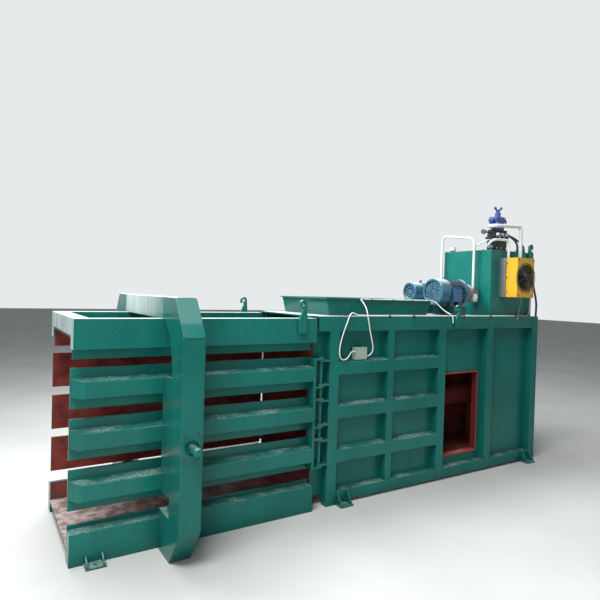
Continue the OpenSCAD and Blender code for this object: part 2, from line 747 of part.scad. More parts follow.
module cylinder_saddles() {
    w = 30;
    half = main_r + 60;
    color(paint) from_exit() for (x = [barrel_x + 180, end_x - 300]) difference() {
        block([x, -half, floor_top], [x + w, half, main_z]);
        bar_x([x - 1, 0, main_z], w + 2, main_r + seat);
    }
}

// Oil tank: an open box that the lid closes.
tank_side = half_w - tank_inset;
tank_y = -tank_side;
tank_t = 6;
lid_t = 10;
tank_top = deck_h + tank_h;
hose_port_x = tank_x + 479;             // fittings of the valve hoses in the lid
hose_port_y = tank_y + 34;
elbow_x = tank_x + tank_len - 60;       // elbow of the rear hose in the tank's access side
elbow_z = tank_top - 162;
elbow_r = 15;
elbow_out = 36;
elbow_drop = 46;
module oil_tank() {
    color(paint) from_exit() {
        difference() {
            block([tank_x, tank_y, deck_h], [tank_x + tank_len, tank_y + tank_w, tank_top - lid_t]);
            block([tank_x + tank_t, tank_y + tank_t, deck_h + tank_t],
                [tank_x + tank_len - tank_t, tank_y + tank_w - tank_t, tank_top]);
        }
        bar_y([elbow_x, tank_y - elbow_out, elbow_z], elbow_out + 1, elbow_r);
        bar_z([elbow_x, tank_y - elbow_out, elbow_z - elbow_drop], elbow_drop + elbow_r, elbow_r);
    }
}
breather_x = tank_x + 45;
breather_y = tank_y + tank_w - 80;
module tank_lid() {
    color(paint) from_exit() {
        block([tank_x, tank_y, tank_top - lid_t], [tank_x + tank_len, tank_y + tank_w, tank_top]);
        bar_z([breather_x, breather_y, tank_top], 16, 28);
        bar_z([breather_x, breather_y, tank_top + 15], 40, 36);
        for (x = [hose_port_x, hose_port_x + 112]) {
            bar_z([x, hose_port_y, tank_top], 14, 20);
            bar_z([x, hose_port_y, tank_top + 13], 25, 14);
        }
    }
}

// Air blast oil cooler on the tank's access side.
cooler_x = tank_x + 145;
cooler_w = 280;
cooler_z = deck_h + 208;
cooler_h = 418;
core_d = 80;
shroud_d = 140;
fan_x = cooler_x + cooler_w / 2;
fan_z = cooler_z + cooler_h / 2;
shroud_y = tank_y - core_d;
core_over = 12;           // the headers reach past the shroud on each side
guard_y = shroud_y - shroud_d;
module cooler_core() {
    fin_t = 4;
    gap = 14;
    header = 26;
    x0 = cooler_x - core_over;
    x1 = cooler_x + cooler_w + core_over;
    color("gray") from_exit() {
        for (z = [cooler_z, cooler_z + cooler_h - header])
            block([x0, shroud_y, z], [x1, tank_y, z + header]);
        for (x = [x0, x1 - 12])
            block([x, shroud_y, cooler_z], [x + 12, tank_y, cooler_z + cooler_h]);
        block([x0, shroud_y + 18, cooler_z], [x1, tank_y - 18, cooler_z + cooler_h]);
        for (z = [cooler_z + header + gap : fin_t + gap : cooler_z + cooler_h - header - fin_t])
            block([x0 + 1, shroud_y + 3, z], [x1 - 1, tank_y - 3, z + fin_t]);
    }
}
module cooler_shroud() {
    t = 4;
    color([0.95, 0.68, 0.05]) from_exit() difference() {
        block([cooler_x, guard_y, cooler_z], [cooler_x + cooler_w, shroud_y, cooler_z + cooler_h]);
        block([cooler_x + t, guard_y + t, cooler_z + t],
            [cooler_x + cooler_w - t, shroud_y + 1, cooler_z + cooler_h - t]);
        bar_y([fan_x, guard_y - 1, fan_z], t + 2, fan_r + 3);
    }
}
// Concentric rings on four arms, with the fan motor and its shaft in their middle.
fan_motor_r = 38;
fan_motor_d = 56;          // depth of the fan motor behind the guard's front
fan_shaft_r = 8;
module fan_guard() {
    ring_w = 4;
    ring_d = 5;
    pitch = 18;
    over = 24;
    y = guard_y - ring_d;
    color([0.05, 0.05, 0.05]) from_exit() {
        for (r = [fan_motor_r + 10 : pitch : fan_r + over]) difference() {
            bar_y([fan_x, y, fan_z], ring_d, r);
            bar_y([fan_x, y - 1, fan_z], ring_d + 2, r - ring_w);
        }
        for (a = [0:45:135]) translate([fan_x, y, fan_z]) rotate([0, a + 22.5, 0])
            block([-fan_r - over - 6, 0, -3], [fan_r + over + 6, ring_d, 3]);
        bar_y([fan_x, y - 14, fan_z], 14 + fan_motor_d, fan_motor_r);
        bar_y([fan_x, y + fan_motor_d - 1, fan_z], 21, fan_shaft_r);
    }
}
// Hub and tilted blades behind the guard.
module cooler_fan() {
    hub_y = guard_y - 5 + fan_motor_d + seat;
    hub_r = 34;
    hub_len = 46;
    blades = 7;
    tilt = 32;
    color([0.08, 0.08, 0.09]) from_exit() translate([fan_x, hub_y, fan_z]) rotate([-90, 0, 0]) {
        difference() {
            cylinder(h = hub_len, r = hub_r);
            translate([0, 0, -1]) cylinder(h = 22, r = fan_shaft_r + bore_gap);
            translate([0, 0, 30]) cylinder(h = 40, r = hub_r - 6);
        }
        for (i = [0 : blades - 1]) rotate([0, 0, i * 360 / blades]) translate([hub_r - 2, 0, hub_len / 2])
            rotate([tilt, 0, 0]) translate([0, -26, -2]) cube([fan_r - hub_r - 4, 52, 4]);
    }
}

// A motor with its pump: place across the machine, cowl radius, and the lengths of cowl, frame, bell and pump.
near_set = [-260, motor_r, 115, 210, 120, 145];
far_set = [200, motor_far_r, 110, 200, 65, 100];
shield = 35;               // length of the rear shield inside the cowl
flange_t = 26;
pump_gap = 25;             // from a pump's end to the tank
motor_cz = deck_h + motor_z;
motor_shaft_r = 12;
pump_end = tank_x - pump_gap;
function pump_start(m) = pump_end - m[5];
function flange_end(m) = pump_start(m) - m[4];
function frame_start(m) = flange_end(m) - flange_t + 1 - m[3];
function cowl_start(m) = frame_start(m) - shield - m[2];

// Electric pump motor on its pedestal: finned frame, feet, flange, and a terminal box towards side.
module motor(m, side) {
    y = m[0];
    r = m[1];
    len = m[3];
    x = frame_start(m);
    frame_r = r * 0.8;
    fin_r = r * 0.92;
    fins = 28;
    base = 100;
    box_in = abs(y) + r * 0.5;
    box_out = abs(y) + r;
    box_end = x + len * 0.52;
    eye_r = 18;
    eye_x = x + 24;
    eye_z = motor_cz + fin_r + eye_r + 4;
    difference() {
        union() {
            bar_x([x, y, motor_cz], len, frame_r);
            for (i = [0 : fins - 1]) translate([x + 8, y, motor_cz]) rotate([i * 360 / fins, 0, 0])
                block([0, -2, frame_r - 2], [len - 16, 2, fin_r]);
            bar_x([x - shield - 5, y, motor_cz], shield + 6, r - cowl_t);
            bar_x([x + len - 1, y, motor_cz], flange_t, r + 2);
        }
        bar_x([x - shield - 6, y, motor_cz], shield - 4, motor_shaft_r);
    }
    for (fx = [x + 20, x + len - 70], s = [-1, 1])
        block([fx, y + s * frame_r * 0.66 - 20, deck_h + base - 1],
            [fx + 50, y + s * frame_r * 0.66 + 20, motor_cz - r * 0.5]);
    block([x + 10, y - r, deck_h], [x + len - 10, y + r, deck_h + base]);
    side_block(side, x + 4, box_end, box_in, box_out, motor_cz - 92, motor_cz + 36);
    side_block(side, x + 1, box_end + 3, box_out, box_out + 22, motor_cz - 96, motor_cz + 40);
    difference() {
        union() {
            bar_z([eye_x, y, motor_cz + frame_r - 8], eye_z - eye_r - motor_cz - frame_r + 11, 6);
            bar_y([eye_x, y - 4, eye_z], 8, eye_r);
        }
        bar_y([eye_x, y - 5, eye_z], 10, eye_r / 2);
    }
}
module motors() {
    color([0.10, 0.30, 0.55]) from_exit() {
        motor(near_set, near);
        motor(far_set, far);
    }
}
// Fan cowl: a cup that slips over the motor's rear shield, with a rolled rim round a sunk grille.
cowl_t = 3;
module cowl(m) {
    r = m[1];
    len = m[2] + 10;
    rim = 26;
    sunk = 14;
    slots = 12;
    slot_r = 28;
    slot_len = 16;
    slot_pitch = 22;
    rings = floor((r - rim - slot_r - slot_len) / slot_pitch);
    translate([cowl_start(m), m[0], motor_cz]) difference() {
        rotate([0, 90, 0]) rotate_extrude() polygon([[0, sunk], [r - rim, sunk], [r - rim, cowl_t],
            [r - rim + cowl_t, 0], [r - 5, 0], [r, 5], [r, len], [r - cowl_t, len], [r - cowl_t, 6],
            [r - 6, cowl_t], [r - rim + cowl_t, cowl_t], [r - rim + cowl_t, sunk + cowl_t], [0, sunk + cowl_t]]);
        for (i = [0 : slots - 1], k = [0 : rings]) rotate([(i + k / 3) * 360 / slots, 0, 0])
            block([sunk - 1, -5, slot_r + k * slot_pitch], [sunk + cowl_t + 1, 5, slot_r + k * slot_pitch + slot_len]);
    }
}
module motor_cowls() {
    color([0.25, 0.55, 0.75]) from_exit() {
        cowl(near_set);
        cowl(far_set);
    }
}
// Cooling fan with its shaft end.
module motor_fan(m) {
    blades = 8;
    behind = 32;
    disc_x = 48;
    disc_t = 6;
    hub_r = 30;
    tip_r = m[1] - 18;
    start = cowl_start(m) + behind;
    translate([start, m[0], motor_cz]) rotate([0, 90, 0]) {
        cylinder(h = frame_start(m) - 10 - start - seat, r = motor_shaft_r - bore_gap);
        cylinder(h = disc_x + disc_t, r = hub_r);
        translate([0, 0, disc_x]) cylinder(h = disc_t, r = tip_r);
        for (i = [0 : blades - 1]) rotate([0, 0, i * 360 / blades])
            translate([hub_r - 2, -2, 4]) cube([tip_r - hub_r, 4, disc_x - 3]);
    }
}
module motor_fan_near() { color("dimgray") from_exit() motor_fan(near_set); }
module motor_fan_far() { color("dimgray") from_exit() motor_fan(far_set); }
// Bell housing and gear pump between a motor's flange and the tank, with a domed cap on each side of the pump.
pump_half = 48;
pump_cap_r = 42;
module pump_set(m) {
    y = m[0];
    r = m[1];
    bell = m[4];
    start = pump_start(m);
    cap = [(start + pump_end) / 2 + 8, pump_half, motor_cz - 52];
    translate([flange_end(m), y, motor_cz]) rotate([0, 90, 0]) rotate_extrude() polygon([[0, 0], [r, 0], [r, 14],
        [r * 0.74, 22], [r * 0.64, bell - 14], [r * 0.7, bell - 10], [r * 0.7, bell], [0, bell]]);
    block([start, y - pump_half, motor_cz - 96], [pump_end, y + pump_half, motor_cz + pump_half]);
    bar_x([pump_end, y, motor_cz], pump_gap, 20);
    for (s = [-1, 1]) translate([cap[0], y + s * cap[1], cap[2]]) rotate([-90 * s, 0, 0])
        rotate_extrude() polygon([[0, -1], [pump_cap_r, -1], [pump_cap_r, 14], [pump_cap_r - 10, 24],
            [pump_cap_r - 24, 30], [0, 32]]);
}
module pump_sets() {
    color("gray") from_exit() {
        pump_set(near_set);
        pump_set(far_set);
    }
}

// Control valves on the tank's lid: a manifold, a layer of sectional valves and the relief valve on top.
valve_x = tank_x + 115;
valve_len = 190;
valve_y = tank_y + 100;
valve_half = 55;
layer_z = tank_top + 85;
neck_z = tank_top + 228;
head_z = neck_z + 60;
relief_half = 62;
module valve_manifold() {
    gap = 8;
    w = (valve_len + 20 - 2 * gap) / 3;
    color([0.10, 0.20, 0.17]) from_exit() {
        block([valve_x, valve_y - valve_half, tank_top], [valve_x + valve_len, valve_y + valve_half, layer_z]);
        for (i = [0:2]) {
            x = valve_x - 10 + i * (w + gap);
            block([x, valve_y - valve_half + 8, layer_z], [x + w, valve_y + valve_half - 8, neck_z - 20]);
            bar_y([x + w / 2, valve_y - valve_half - 26, layer_z + 60], 2 * valve_half + 52, 20);
            bar_y([x + w / 2, valve_y - valve_half - 34, layer_z + 60], 9, 10);
        }
        block([valve_x - 10, valve_y - valve_half + 8, neck_z - 20],
            [valve_x + valve_len + 10, valve_y + valve_half - 8, neck_z]);
        bar_x([valve_x - 120, valve_y, neck_z - 32], 111, 7);
        bar_x([valve_x - 138, valve_y, neck_z - 32], 20, 26);
    }
}
// Relief valve with its pilot coils and adjusting knobs.
module valve_stack() {
    cx = valve_x + valve_len / 2;
    coil_z = head_z + 42;
    coil_half = 118;
    head_half = 78;
    color([0.13, 0.25, 0.60]) from_exit() {
        block([cx - relief_half, valve_y - 40, neck_z], [cx + relief_half, valve_y + 40, head_z]);
        block([cx - head_half, valve_y - 46, head_z], [cx + head_half, valve_y + 46, head_z + 84]);
        bar_x([cx - coil_half, valve_y, coil_z], 2 * coil_half, 30);
        bar_x([cx - coil_half - 14, valve_y, coil_z], 2 * coil_half + 28, 12);
        bar_z([cx, valve_y, head_z + 83], 50, 30);
        bar_z([cx, valve_y, head_z + 132], 34, 20);
        for (s = [-1, 1]) translate([cx, valve_y, head_z + 140]) rotate([0, s * 48, 0]) {
            cylinder(h = 62, r = 9);
            translate([0, 0, 52]) cylinder(h = 26, r = 14);
        }
    }
}

// White pipework: the arch that joins the pumps, its branch to the valves and the two cooler pipes.
pipe_r = 14;
cooler_pipe_r = 20;
pump_port_x = pump_end - 35;
cooler_top = cooler_z + cooler_h;
module hydraulic_pipes() {
    near_y = near_set[0];
    far_y = far_set[0];
    pump_top = motor_cz + pump_half;
    arch_z = tank_top + 125;
    arch_rise = 55;
    branch_z = layer_z + 30;
    left = valve_x - 50;
    feed_z = neck_z + 34;
    feed_x = cooler_x + cooler_w - 18;
    feed_y = valve_y - valve_half - 34;
    feed_end_y = shroud_y + 23;
    port_y = valve_y - 10;
    port_z = tank_top + 40;
    port_out = left - 30;
    drain_z = layer_z + 26;
    drain_x = cooler_x + 86;
    drain_y = tank_y - 40;
    bend = 46;
    color("white") from_exit() {
        tube(rounded([[pump_port_x, near_y, pump_top], [pump_port_x, near_y, arch_z],
            [pump_port_x, far_y, arch_z + arch_rise], [pump_port_x, far_y, pump_top]], 80, 6), pipe_r, 12, [1, 0, 0]);
        tube(rounded([[pump_port_x, near_y, arch_z - 90], [left, valve_y, branch_z],
            [valve_x - 10, valve_y, branch_z]], 20, 3), pipe_r - 4, 12);
        tube(rounded([[valve_x + valve_len / 2 - relief_half, valve_y, feed_z], [left, valve_y, feed_z],
            [left, feed_y, feed_z], [feed_x, feed_end_y, feed_z + 10], [feed_x, feed_end_y, cooler_top]],
            bend - 4, 6), cooler_pipe_r, 12);
        tube(rounded([[valve_x, port_y, port_z], [port_out, port_y, port_z], [port_out, tank_y + 15, drain_z],
            [drain_x, drain_y, drain_z], [drain_x, drain_y, cooler_top]], bend, 6), pipe_r, 12);
    }
}

// Small junction box resting on the top chamber rib.
box_x = post_x + 278;
box_w = 120;
box_z = chamber_rib_z[2] + rib_h / 2 + 8;  // top of the rib at its root
module pendant_box() {
    color([0.55, 0.62, 0.58]) from_exit() {
        block([box_x, -rail_y + 12, box_z], [box_x + box_w, -rail_y + 58, box_z + 105]);
        block([box_x - 2, -rail_y + 4, box_z], [box_x + box_w + 2, -rail_y + 12, box_z + 107]);
        bar_y([box_x + 60, -rail_y + 57, box_z + 60], post_d - 57, 12);
    }
}

// Routes of the free cords and hoses, in the machine's frame.
fan_cord_r = 5;
fan_cord_route = [[-145, -500, 1309], [-151, -500, 1309], [-157, -500, 1309], [-174, -501, 1307],
    [-198, -511, 1297], [-226, -524, 1274], [-258, -531, 1252], [-294, -532, 1245], [-322, -532, 1263],
    [-334, -532, 1302], [-331, -532, 1360], [-314, -532, 1430], [-288, -532, 1500], [-262, -532, 1560],
    [-246, -533, 1602], [-229, -531, 1632], [-199, -522, 1645], [-163, -510, 1639], [-125, -503, 1627],
    [-25, -500, 1622], [135, -506, 1622], [335, -500, 1622], [535, -506, 1622], [735, -500, 1622],
    [935, -506, 1622], [1215, -500, 1622], [1625, -506, 1622], [2055, -500, 1622], [2190, -494, 1622],
    [2290, -478, 1622], [2338, -460, 1634], [2368, -450, 1664], [2380, -446, 1710], [2382, -446, 1800],
    [2378, -446, 1862], [2358, -446, 1908], [2318, -446, 1928], [2185, -446, 1930], [2149, -446, 1930],
    [2137, -446, 1930]];
pendant_cord_r = 5;
pendant_cord_route = [[-25, -490, 1259], [-19, -490, 1259], [-12, -490, 1259], [8, -496, 1264],
    [25, -510, 1281], [33, -524, 1310], [30, -530, 1352], [15, -531, 1410], [-5, -531, 1480],
    [-22, -532, 1550], [-34, -532, 1600], [-42, -529, 1648], [-47, -512, 1694], [-50, -480, 1731],
    [-46, -446, 1755], [-27, -419, 1766], [5, -408, 1767], [45, -406, 1766], [235, -406, 1766],
    [485, -406, 1766], [735, -406, 1766], [835, -406, 1766], [878, -409, 1763], [910, -424, 1746],
    [936, -446, 1714], [962, -472, 1680], [990, -500, 1653], [1014, -522, 1636], [1030, -534, 1610],
    [1037, -536, 1580], [1040, -534, 1550]];
earth_lead_r = 2;
earth_lead_route = [[2099, -535, 1824], [2099, -535, 1819], [2099, -535, 1814], [2096, -537, 1795],
    [2080, -539, 1740], [2062, -537, 1670], [2052, -536, 1622], [2049, -535.5, 1600],
    [2049, -533.5, 1588.5], [2049, -528, 1582.3], [2049, -524, 1581], [2049, -522, 1581],
    [2049, -520, 1581]];
hose_r = 11;
front_hose_route = [[2015, -365, 2506], [2022, -365, 2506], [2030, -365, 2506], [2060, -367, 2504],
    [2105, -377, 2490], [2143, -390, 2462], [2168, -401, 2426], [2179, -406, 2392], [2179, -406, 2379],
    [2179, -406, 2366]];
rear_hose_valve_route = [[2015, -318, 2526], [2022, -318, 2526], [2030, -318, 2526], [2070, -320, 2524],
    [2130, -332, 2513], [2190, -352, 2488], [2240, -377, 2452], [2273, -396, 2417],
    [2288, -404.5, 2391], [2291, -406, 2378], [2291, -406, 2372], [2291, -406, 2366]];
rear_hose_route = [[2350, -476, 2120], [2350, -476, 2112], [2350, -476, 2104], [2354, -478, 2070],
    [2366, -486, 1990], [2384, -497, 1900], [2400, -506, 1820], [2411, -508, 1750], [2415, -506, 1695],
    [2414, -505, 1655], [2413, -505, 1632], [2413, -505, 1624], [2413, -505, 1616]];
module fan_cord() { color("white") tube(curve(fan_cord_route, 2), fan_cord_r, 8, [0, 1, 0.2]); }
module pendant_cord() { color("white") tube(curve(pendant_cord_route, 2), pendant_cord_r, 8, [0, 0.2, 1]); }
module earth_lead() { color("yellow") tube(curve(earth_lead_route, 2), earth_lead_r, 8, [0, 1, 0.2]); }
module valve_hose_front() { color("black") tube(curve(front_hose_route, 4), hose_r, 10, [0, 0.2, 1]); }
module valve_hose_rear() { color("black") tube(curve(rear_hose_valve_route, 4), hose_r, 10, [0, 0.2, 1]); }
module rear_hose() { color("black") tube(curve(rear_hose_route, 3), hose_r, 10, [0, 0.2, 1]); }

channel_floor();
bottom_beams();
top_beams();
exit_cross_beam();
channel_top_plate();
floor_bearers();
yoke_columns();
yoke_top_beam();
yoke_bottom_tie();
hinge_brackets();
hinge_pins();
chamber_wall_near();
chamber_wall_far();
rear_wall_near();
rear_wall_far();
upper_rails();
lower_rails();
window_frame();
rear_end_plate();
body_floor();
top_deck();
feed_hopper();
lifting_hooks();
anchor_feet();
ram_platen();
ram_rod();
main_cylinder();
cylinder_saddles();
near_fingers();
near_push_beam();
near_hinge_bar();
far_fingers();
far_push_beam();
far_hinge_bar();
squeeze_cylinders();
squeeze_rod_near();
squeeze_rod_far();
squeeze_bolts();
slot_rod();
oil_tank();
tank_lid();
cooler_core();
cooler_shroud();
fan_guard();
cooler_fan();
motors();
motor_cowls();
motor_fan_near();
motor_fan_far();
pump_sets();
hydraulic_pipes();
valve_manifold();
valve_stack();
pendant_box();
fan_cord();
pendant_cord();
earth_lead();
valve_hose_front();
valve_hose_rear();
rear_hose();
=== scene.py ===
import json
import math

import bmesh
import bpy
from mathutils import Matrix, Vector


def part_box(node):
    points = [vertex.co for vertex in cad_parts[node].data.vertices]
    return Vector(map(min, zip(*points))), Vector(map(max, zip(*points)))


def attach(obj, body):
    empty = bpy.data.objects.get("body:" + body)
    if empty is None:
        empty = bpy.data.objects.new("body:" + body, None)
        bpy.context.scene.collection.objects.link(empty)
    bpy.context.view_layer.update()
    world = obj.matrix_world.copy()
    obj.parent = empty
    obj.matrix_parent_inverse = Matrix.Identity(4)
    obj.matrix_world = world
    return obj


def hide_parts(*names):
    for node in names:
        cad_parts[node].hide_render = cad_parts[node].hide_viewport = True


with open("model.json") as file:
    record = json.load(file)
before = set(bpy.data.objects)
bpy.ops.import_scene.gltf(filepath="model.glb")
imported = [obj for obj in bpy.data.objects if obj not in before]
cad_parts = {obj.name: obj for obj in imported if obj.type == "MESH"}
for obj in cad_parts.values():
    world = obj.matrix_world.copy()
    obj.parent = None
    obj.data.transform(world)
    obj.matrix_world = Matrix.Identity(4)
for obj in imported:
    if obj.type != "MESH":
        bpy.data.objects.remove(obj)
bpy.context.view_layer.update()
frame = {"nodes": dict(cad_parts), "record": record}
nodes = frame["nodes"]

PHOTO_SIDE = 600.0        # side of the photograph's frame, in pixels
FOCAL_PX = 522.53
SENSOR = 36.0
CAMERA_AT = (-2.970, -4.107, 1.811)
VIEW_DIR = (0.52831, 0.84892, -0.01492)
VIEW_UP = (-0.01718, 0.02826, 0.99945)
FAR_CLIP = 100            # metres
SHARP = 0.6               # radians: edges that turn more than this stay sharp


def aim(obj, direction, up):
    """Turns obj so that its -Z looks along direction, with +Y towards up."""
    back = -Vector(direction).normalized()
    right = Vector(up).cross(back).normalized()
    turn = Matrix((right, back.cross(right), back)).transposed()
    obj.matrix_world = Matrix.Translation(obj.location) @ turn.to_4x4()


def make_camera():
    """The camera of the photograph, from its calibration."""
    data = bpy.data.cameras.new("photo_camera")
    data.sensor_width = SENSOR
    data.lens = FOCAL_PX * SENSOR / PHOTO_SIDE
    data.clip_end = FAR_CLIP
    camera = bpy.data.objects.new("photo_camera", data)
    bpy.context.collection.objects.link(camera)
    camera.location = CAMERA_AT
    aim(camera, VIEW_DIR, VIEW_UP)
    bpy.context.scene.camera = camera


def area_light(name, at, target, size, power, color, in_gloss=True):
    """A soft rectangular lamp at a point, turned to its target."""
    data = bpy.data.lights.new(name, "AREA")
    data.shape = "RECTANGLE"
    data.size, data.size_y = size
    data.energy = power
    data.color = color
    light = bpy.data.objects.new(name, data)
    bpy.context.collection.objects.link(light)
    light.visible_glossy = in_gloss
    light.location = at
    aim(light, Vector(target) - Vector(at), (0, 0, 1))


def make_world(strength, background):
    """Even sky for light, and a plain pale background for what looks past the object."""
    world = bpy.data.worlds.new("studio")
    bpy.context.scene.world = world
    world.use_nodes = True
    tree = world.node_tree
    tree.nodes.clear()
    out = tree.nodes.new("ShaderNodeOutputWorld")
    mix = tree.nodes.new("ShaderNodeMixShader")
    sky = tree.nodes.new("ShaderNodeBackground")
    backdrop = tree.nodes.new("ShaderNodeBackground")
    sky.inputs["Color"].default_value = (0.86, 0.93, 1.0, 1)
    sky.inputs["Strength"].default_value = strength
    backdrop.inputs["Color"].default_value = (*background, 1)
    path = tree.nodes.new("ShaderNodeLightPath")
    seen = path.outputs["Is Camera Ray"]
    for ray in ("Is Glossy Ray", "Is Transmission Ray"):
        either = tree.nodes.new("ShaderNodeMath")
        either.operation = "MAXIMUM"
        tree.links.new(seen, either.inputs[0])
        tree.links.new(path.outputs[ray], either.inputs[1])
        seen = either.outputs[0]
    tree.links.new(seen, mix.inputs[0])
    tree.links.new(sky.outputs[0], mix.inputs[1])
    tree.links.new(backdrop.outputs[0], mix.inputs[2])
    tree.links.new(mix.outputs[0], out.inputs[0])


class Shader:
    """A node material with short calls for its nodes. Coordinates are the object's own, in metres."""

    def __init__(self, name):
        self.material = bpy.data.materials.new(name)
        self.material.use_nodes = True
        self.tree = self.material.node_tree
        self.tree.nodes.clear()
        self.surface = self.add("ShaderNodeBsdfPrincipled")
        out = self.add("ShaderNodeOutputMaterial")
        self.link(self.surface.outputs[0], out.inputs[0])
        self.place = self.add("ShaderNodeTexCoord").outputs["Object"]

    def add(self, kind, **settings):
        node = self.tree.nodes.new(kind)
        for key, value in settings.items():
            setattr(node, key, value)
        return node

    def link(self, source, target):
        self.tree.links.new(source, target)

    def feed(self, value, socket):
        """Puts a number or a colour on a socket, or links an output to it."""
        if isinstance(value, (int, float)):
            socket.default_value = value
        elif isinstance(value, tuple):
            socket.default_value = (*value, 1)
        else:
            self.link(value, socket)

    def set(self, socket, value):
        """Feeds a socket of the surface itself."""
        self.feed(value, self.surface.inputs[socket])

    def noise(self, scale, detail=3.0, stretch=(1, 1, 1)):
        """Cloudy noise from 0 to 1, with scale features a metre."""
        mapping = self.add("ShaderNodeMapping")
        mapping.inputs["Scale"].default_value = stretch
        self.link(self.place, mapping.inputs["Vector"])
        node = self.add("ShaderNodeTexNoise")
        node.inputs["Scale"].default_value = scale
        node.inputs["Detail"].default_value = detail
        self.link(mapping.outputs[0], node.inputs["Vector"])
        return node.outputs["Fac"]

    def ramp(self, value, low, high, to_low=0.0, to_high=1.0):
        """Turns low..high into to_low..to_high, smoothly and without going past them."""
        node = self.add("ShaderNodeMapRange", clamp=True, interpolation_type="SMOOTHSTEP")
        self.feed(value, node.inputs["Value"])
        node.inputs["From Min"].default_value = low
        node.inputs["From Max"].default_value = high
        node.inputs["To Min"].default_value = to_low
        node.inputs["To Max"].default_value = to_high
        return node.outputs[0]

    def math(self, operation, a, b):
        node = self.add("ShaderNodeMath", operation=operation)
        self.feed(a, node.inputs[0])
        self.feed(b, node.inputs[1])
        return node.outputs[0]

    def mix(self, factor, a, b):
        node = self.add("ShaderNodeMix", data_type="RGBA")
        self.feed(factor, node.inputs[0])
        self.feed(a, node.inputs[6])
        self.feed(b, node.inputs[7])
        return node.outputs[2]

    def axis_of_normal(self, axis):
        """How far the face points along X, Y or Z, from -1 to 1."""
        geometry = self.add("ShaderNodeNewGeometry")
        split = self.add("ShaderNodeSeparateXYZ")
        self.link(geometry.outputs["True Normal"], split.inputs[0])
        return split.outputs[axis]

    def along(self, axis):
        """The object's own X, Y or Z."""
        split = self.add("ShaderNodeSeparateXYZ")
        self.link(self.place, split.inputs[0])
        return split.outputs[axis]

    def between(self, value, low, high, soft=0.0005):
        """1 where value lies between low and high, else 0."""
        above = self.ramp(value, low - soft, low + soft)
        return self.math("MULTIPLY", above, self.ramp(value, high + soft, high - soft))

    def rounded_normal(self, radius):
        """The normal with every edge of the shape rounded over radius metres."""
        bevel = self.add("ShaderNodeBevel", samples=4)
        bevel.inputs["Radius"].default_value = radius
        return bevel.outputs[0]

    def edges(self, rounded):
        """1 along the edges of the shape, where the rounded normal leaves the face's own, else 0."""
        geometry = self.add("ShaderNodeNewGeometry")
        dot = self.add("ShaderNodeVectorMath", operation="DOT_PRODUCT")
        self.link(rounded, dot.inputs[0])
        self.link(geometry.outputs["True Normal"], dot.inputs[1])
        return self.ramp(dot.outputs["Value"], 0.985, 0.9)

    def corners(self, reach):
        """Painted shade: 1 deep in corners and recesses, within reach metres of other faces, where shade
        falls, else 0.
        """
        node = self.add("ShaderNodeAmbientOcclusion", samples=5)
        node.inputs["Distance"].default_value = reach
        return self.ramp(node.outputs["AO"], 0.95, 0.35)

    def bump(self, height, strength, distance, normal=None):
        """A normal from a height, distance metres deep, laid over another normal."""
        node = self.add("ShaderNodeBump")
        node.inputs["Strength"].default_value = strength
        node.inputs["Distance"].default_value = distance
        self.feed(height, node.inputs["Height"])
        if normal is not None:
            self.link(normal, node.inputs["Normal"])
        return node.outputs[0]


def shade(color, factor):
    """The colour made darker or lighter."""
    return tuple(channel * factor for channel in color)


def painted_tone(s, color, streaks, dust_color):
    """The paint's own colour: uneven from patch to patch, with runs and specks."""
    patches = s.noise(1.7, 4)
    tone = s.mix(s.ramp(patches, 0.3, 0.7), shade(color, 0.86), shade(color, 1.12))
    runs = s.noise(9, 3, (1, 1, 0.12))
    tone = s.mix(s.math("MULTIPLY", s.ramp(runs, 0.52, 0.78), streaks), tone, shade(color, 0.66))
    specks = s.noise(55, 2)
    return s.mix(s.math("MULTIPLY", s.ramp(specks, 0.68, 0.82), 0.18), tone, shade(dust_color, 0.6))


def dust_and_top_sheen(s, dust):
    """How pale a face is covered: patchy dust on whatever faces up, and on the machine's top a thicker pale
    cover that is dust and painted highlight together.
    """
    up = s.ramp(s.axis_of_normal("Z"), 0.5, 0.95)
    patchy = s.ramp(s.noise(5, 3), 0.4, 0.65, 0.12, 1.0)
    cover = s.math("MULTIPLY", patchy, s.ramp(s.noise(38, 4), 0.36, 0.6, 0.25, 1.0))
    # Dust and painted highlight: up faces near the machine's top go pale far beyond the dust amount alone
    top_dust_and_sheen = s.ramp(s.along("Z"), *TOP_DUST_AND_SHEEN_ZS, 0.0, min(0.75, dust * 2.5))
    return s.math("MULTIPLY", up, s.math("MAXIMUM", s.math("MULTIPLY", cover, dust), top_dust_and_sheen))


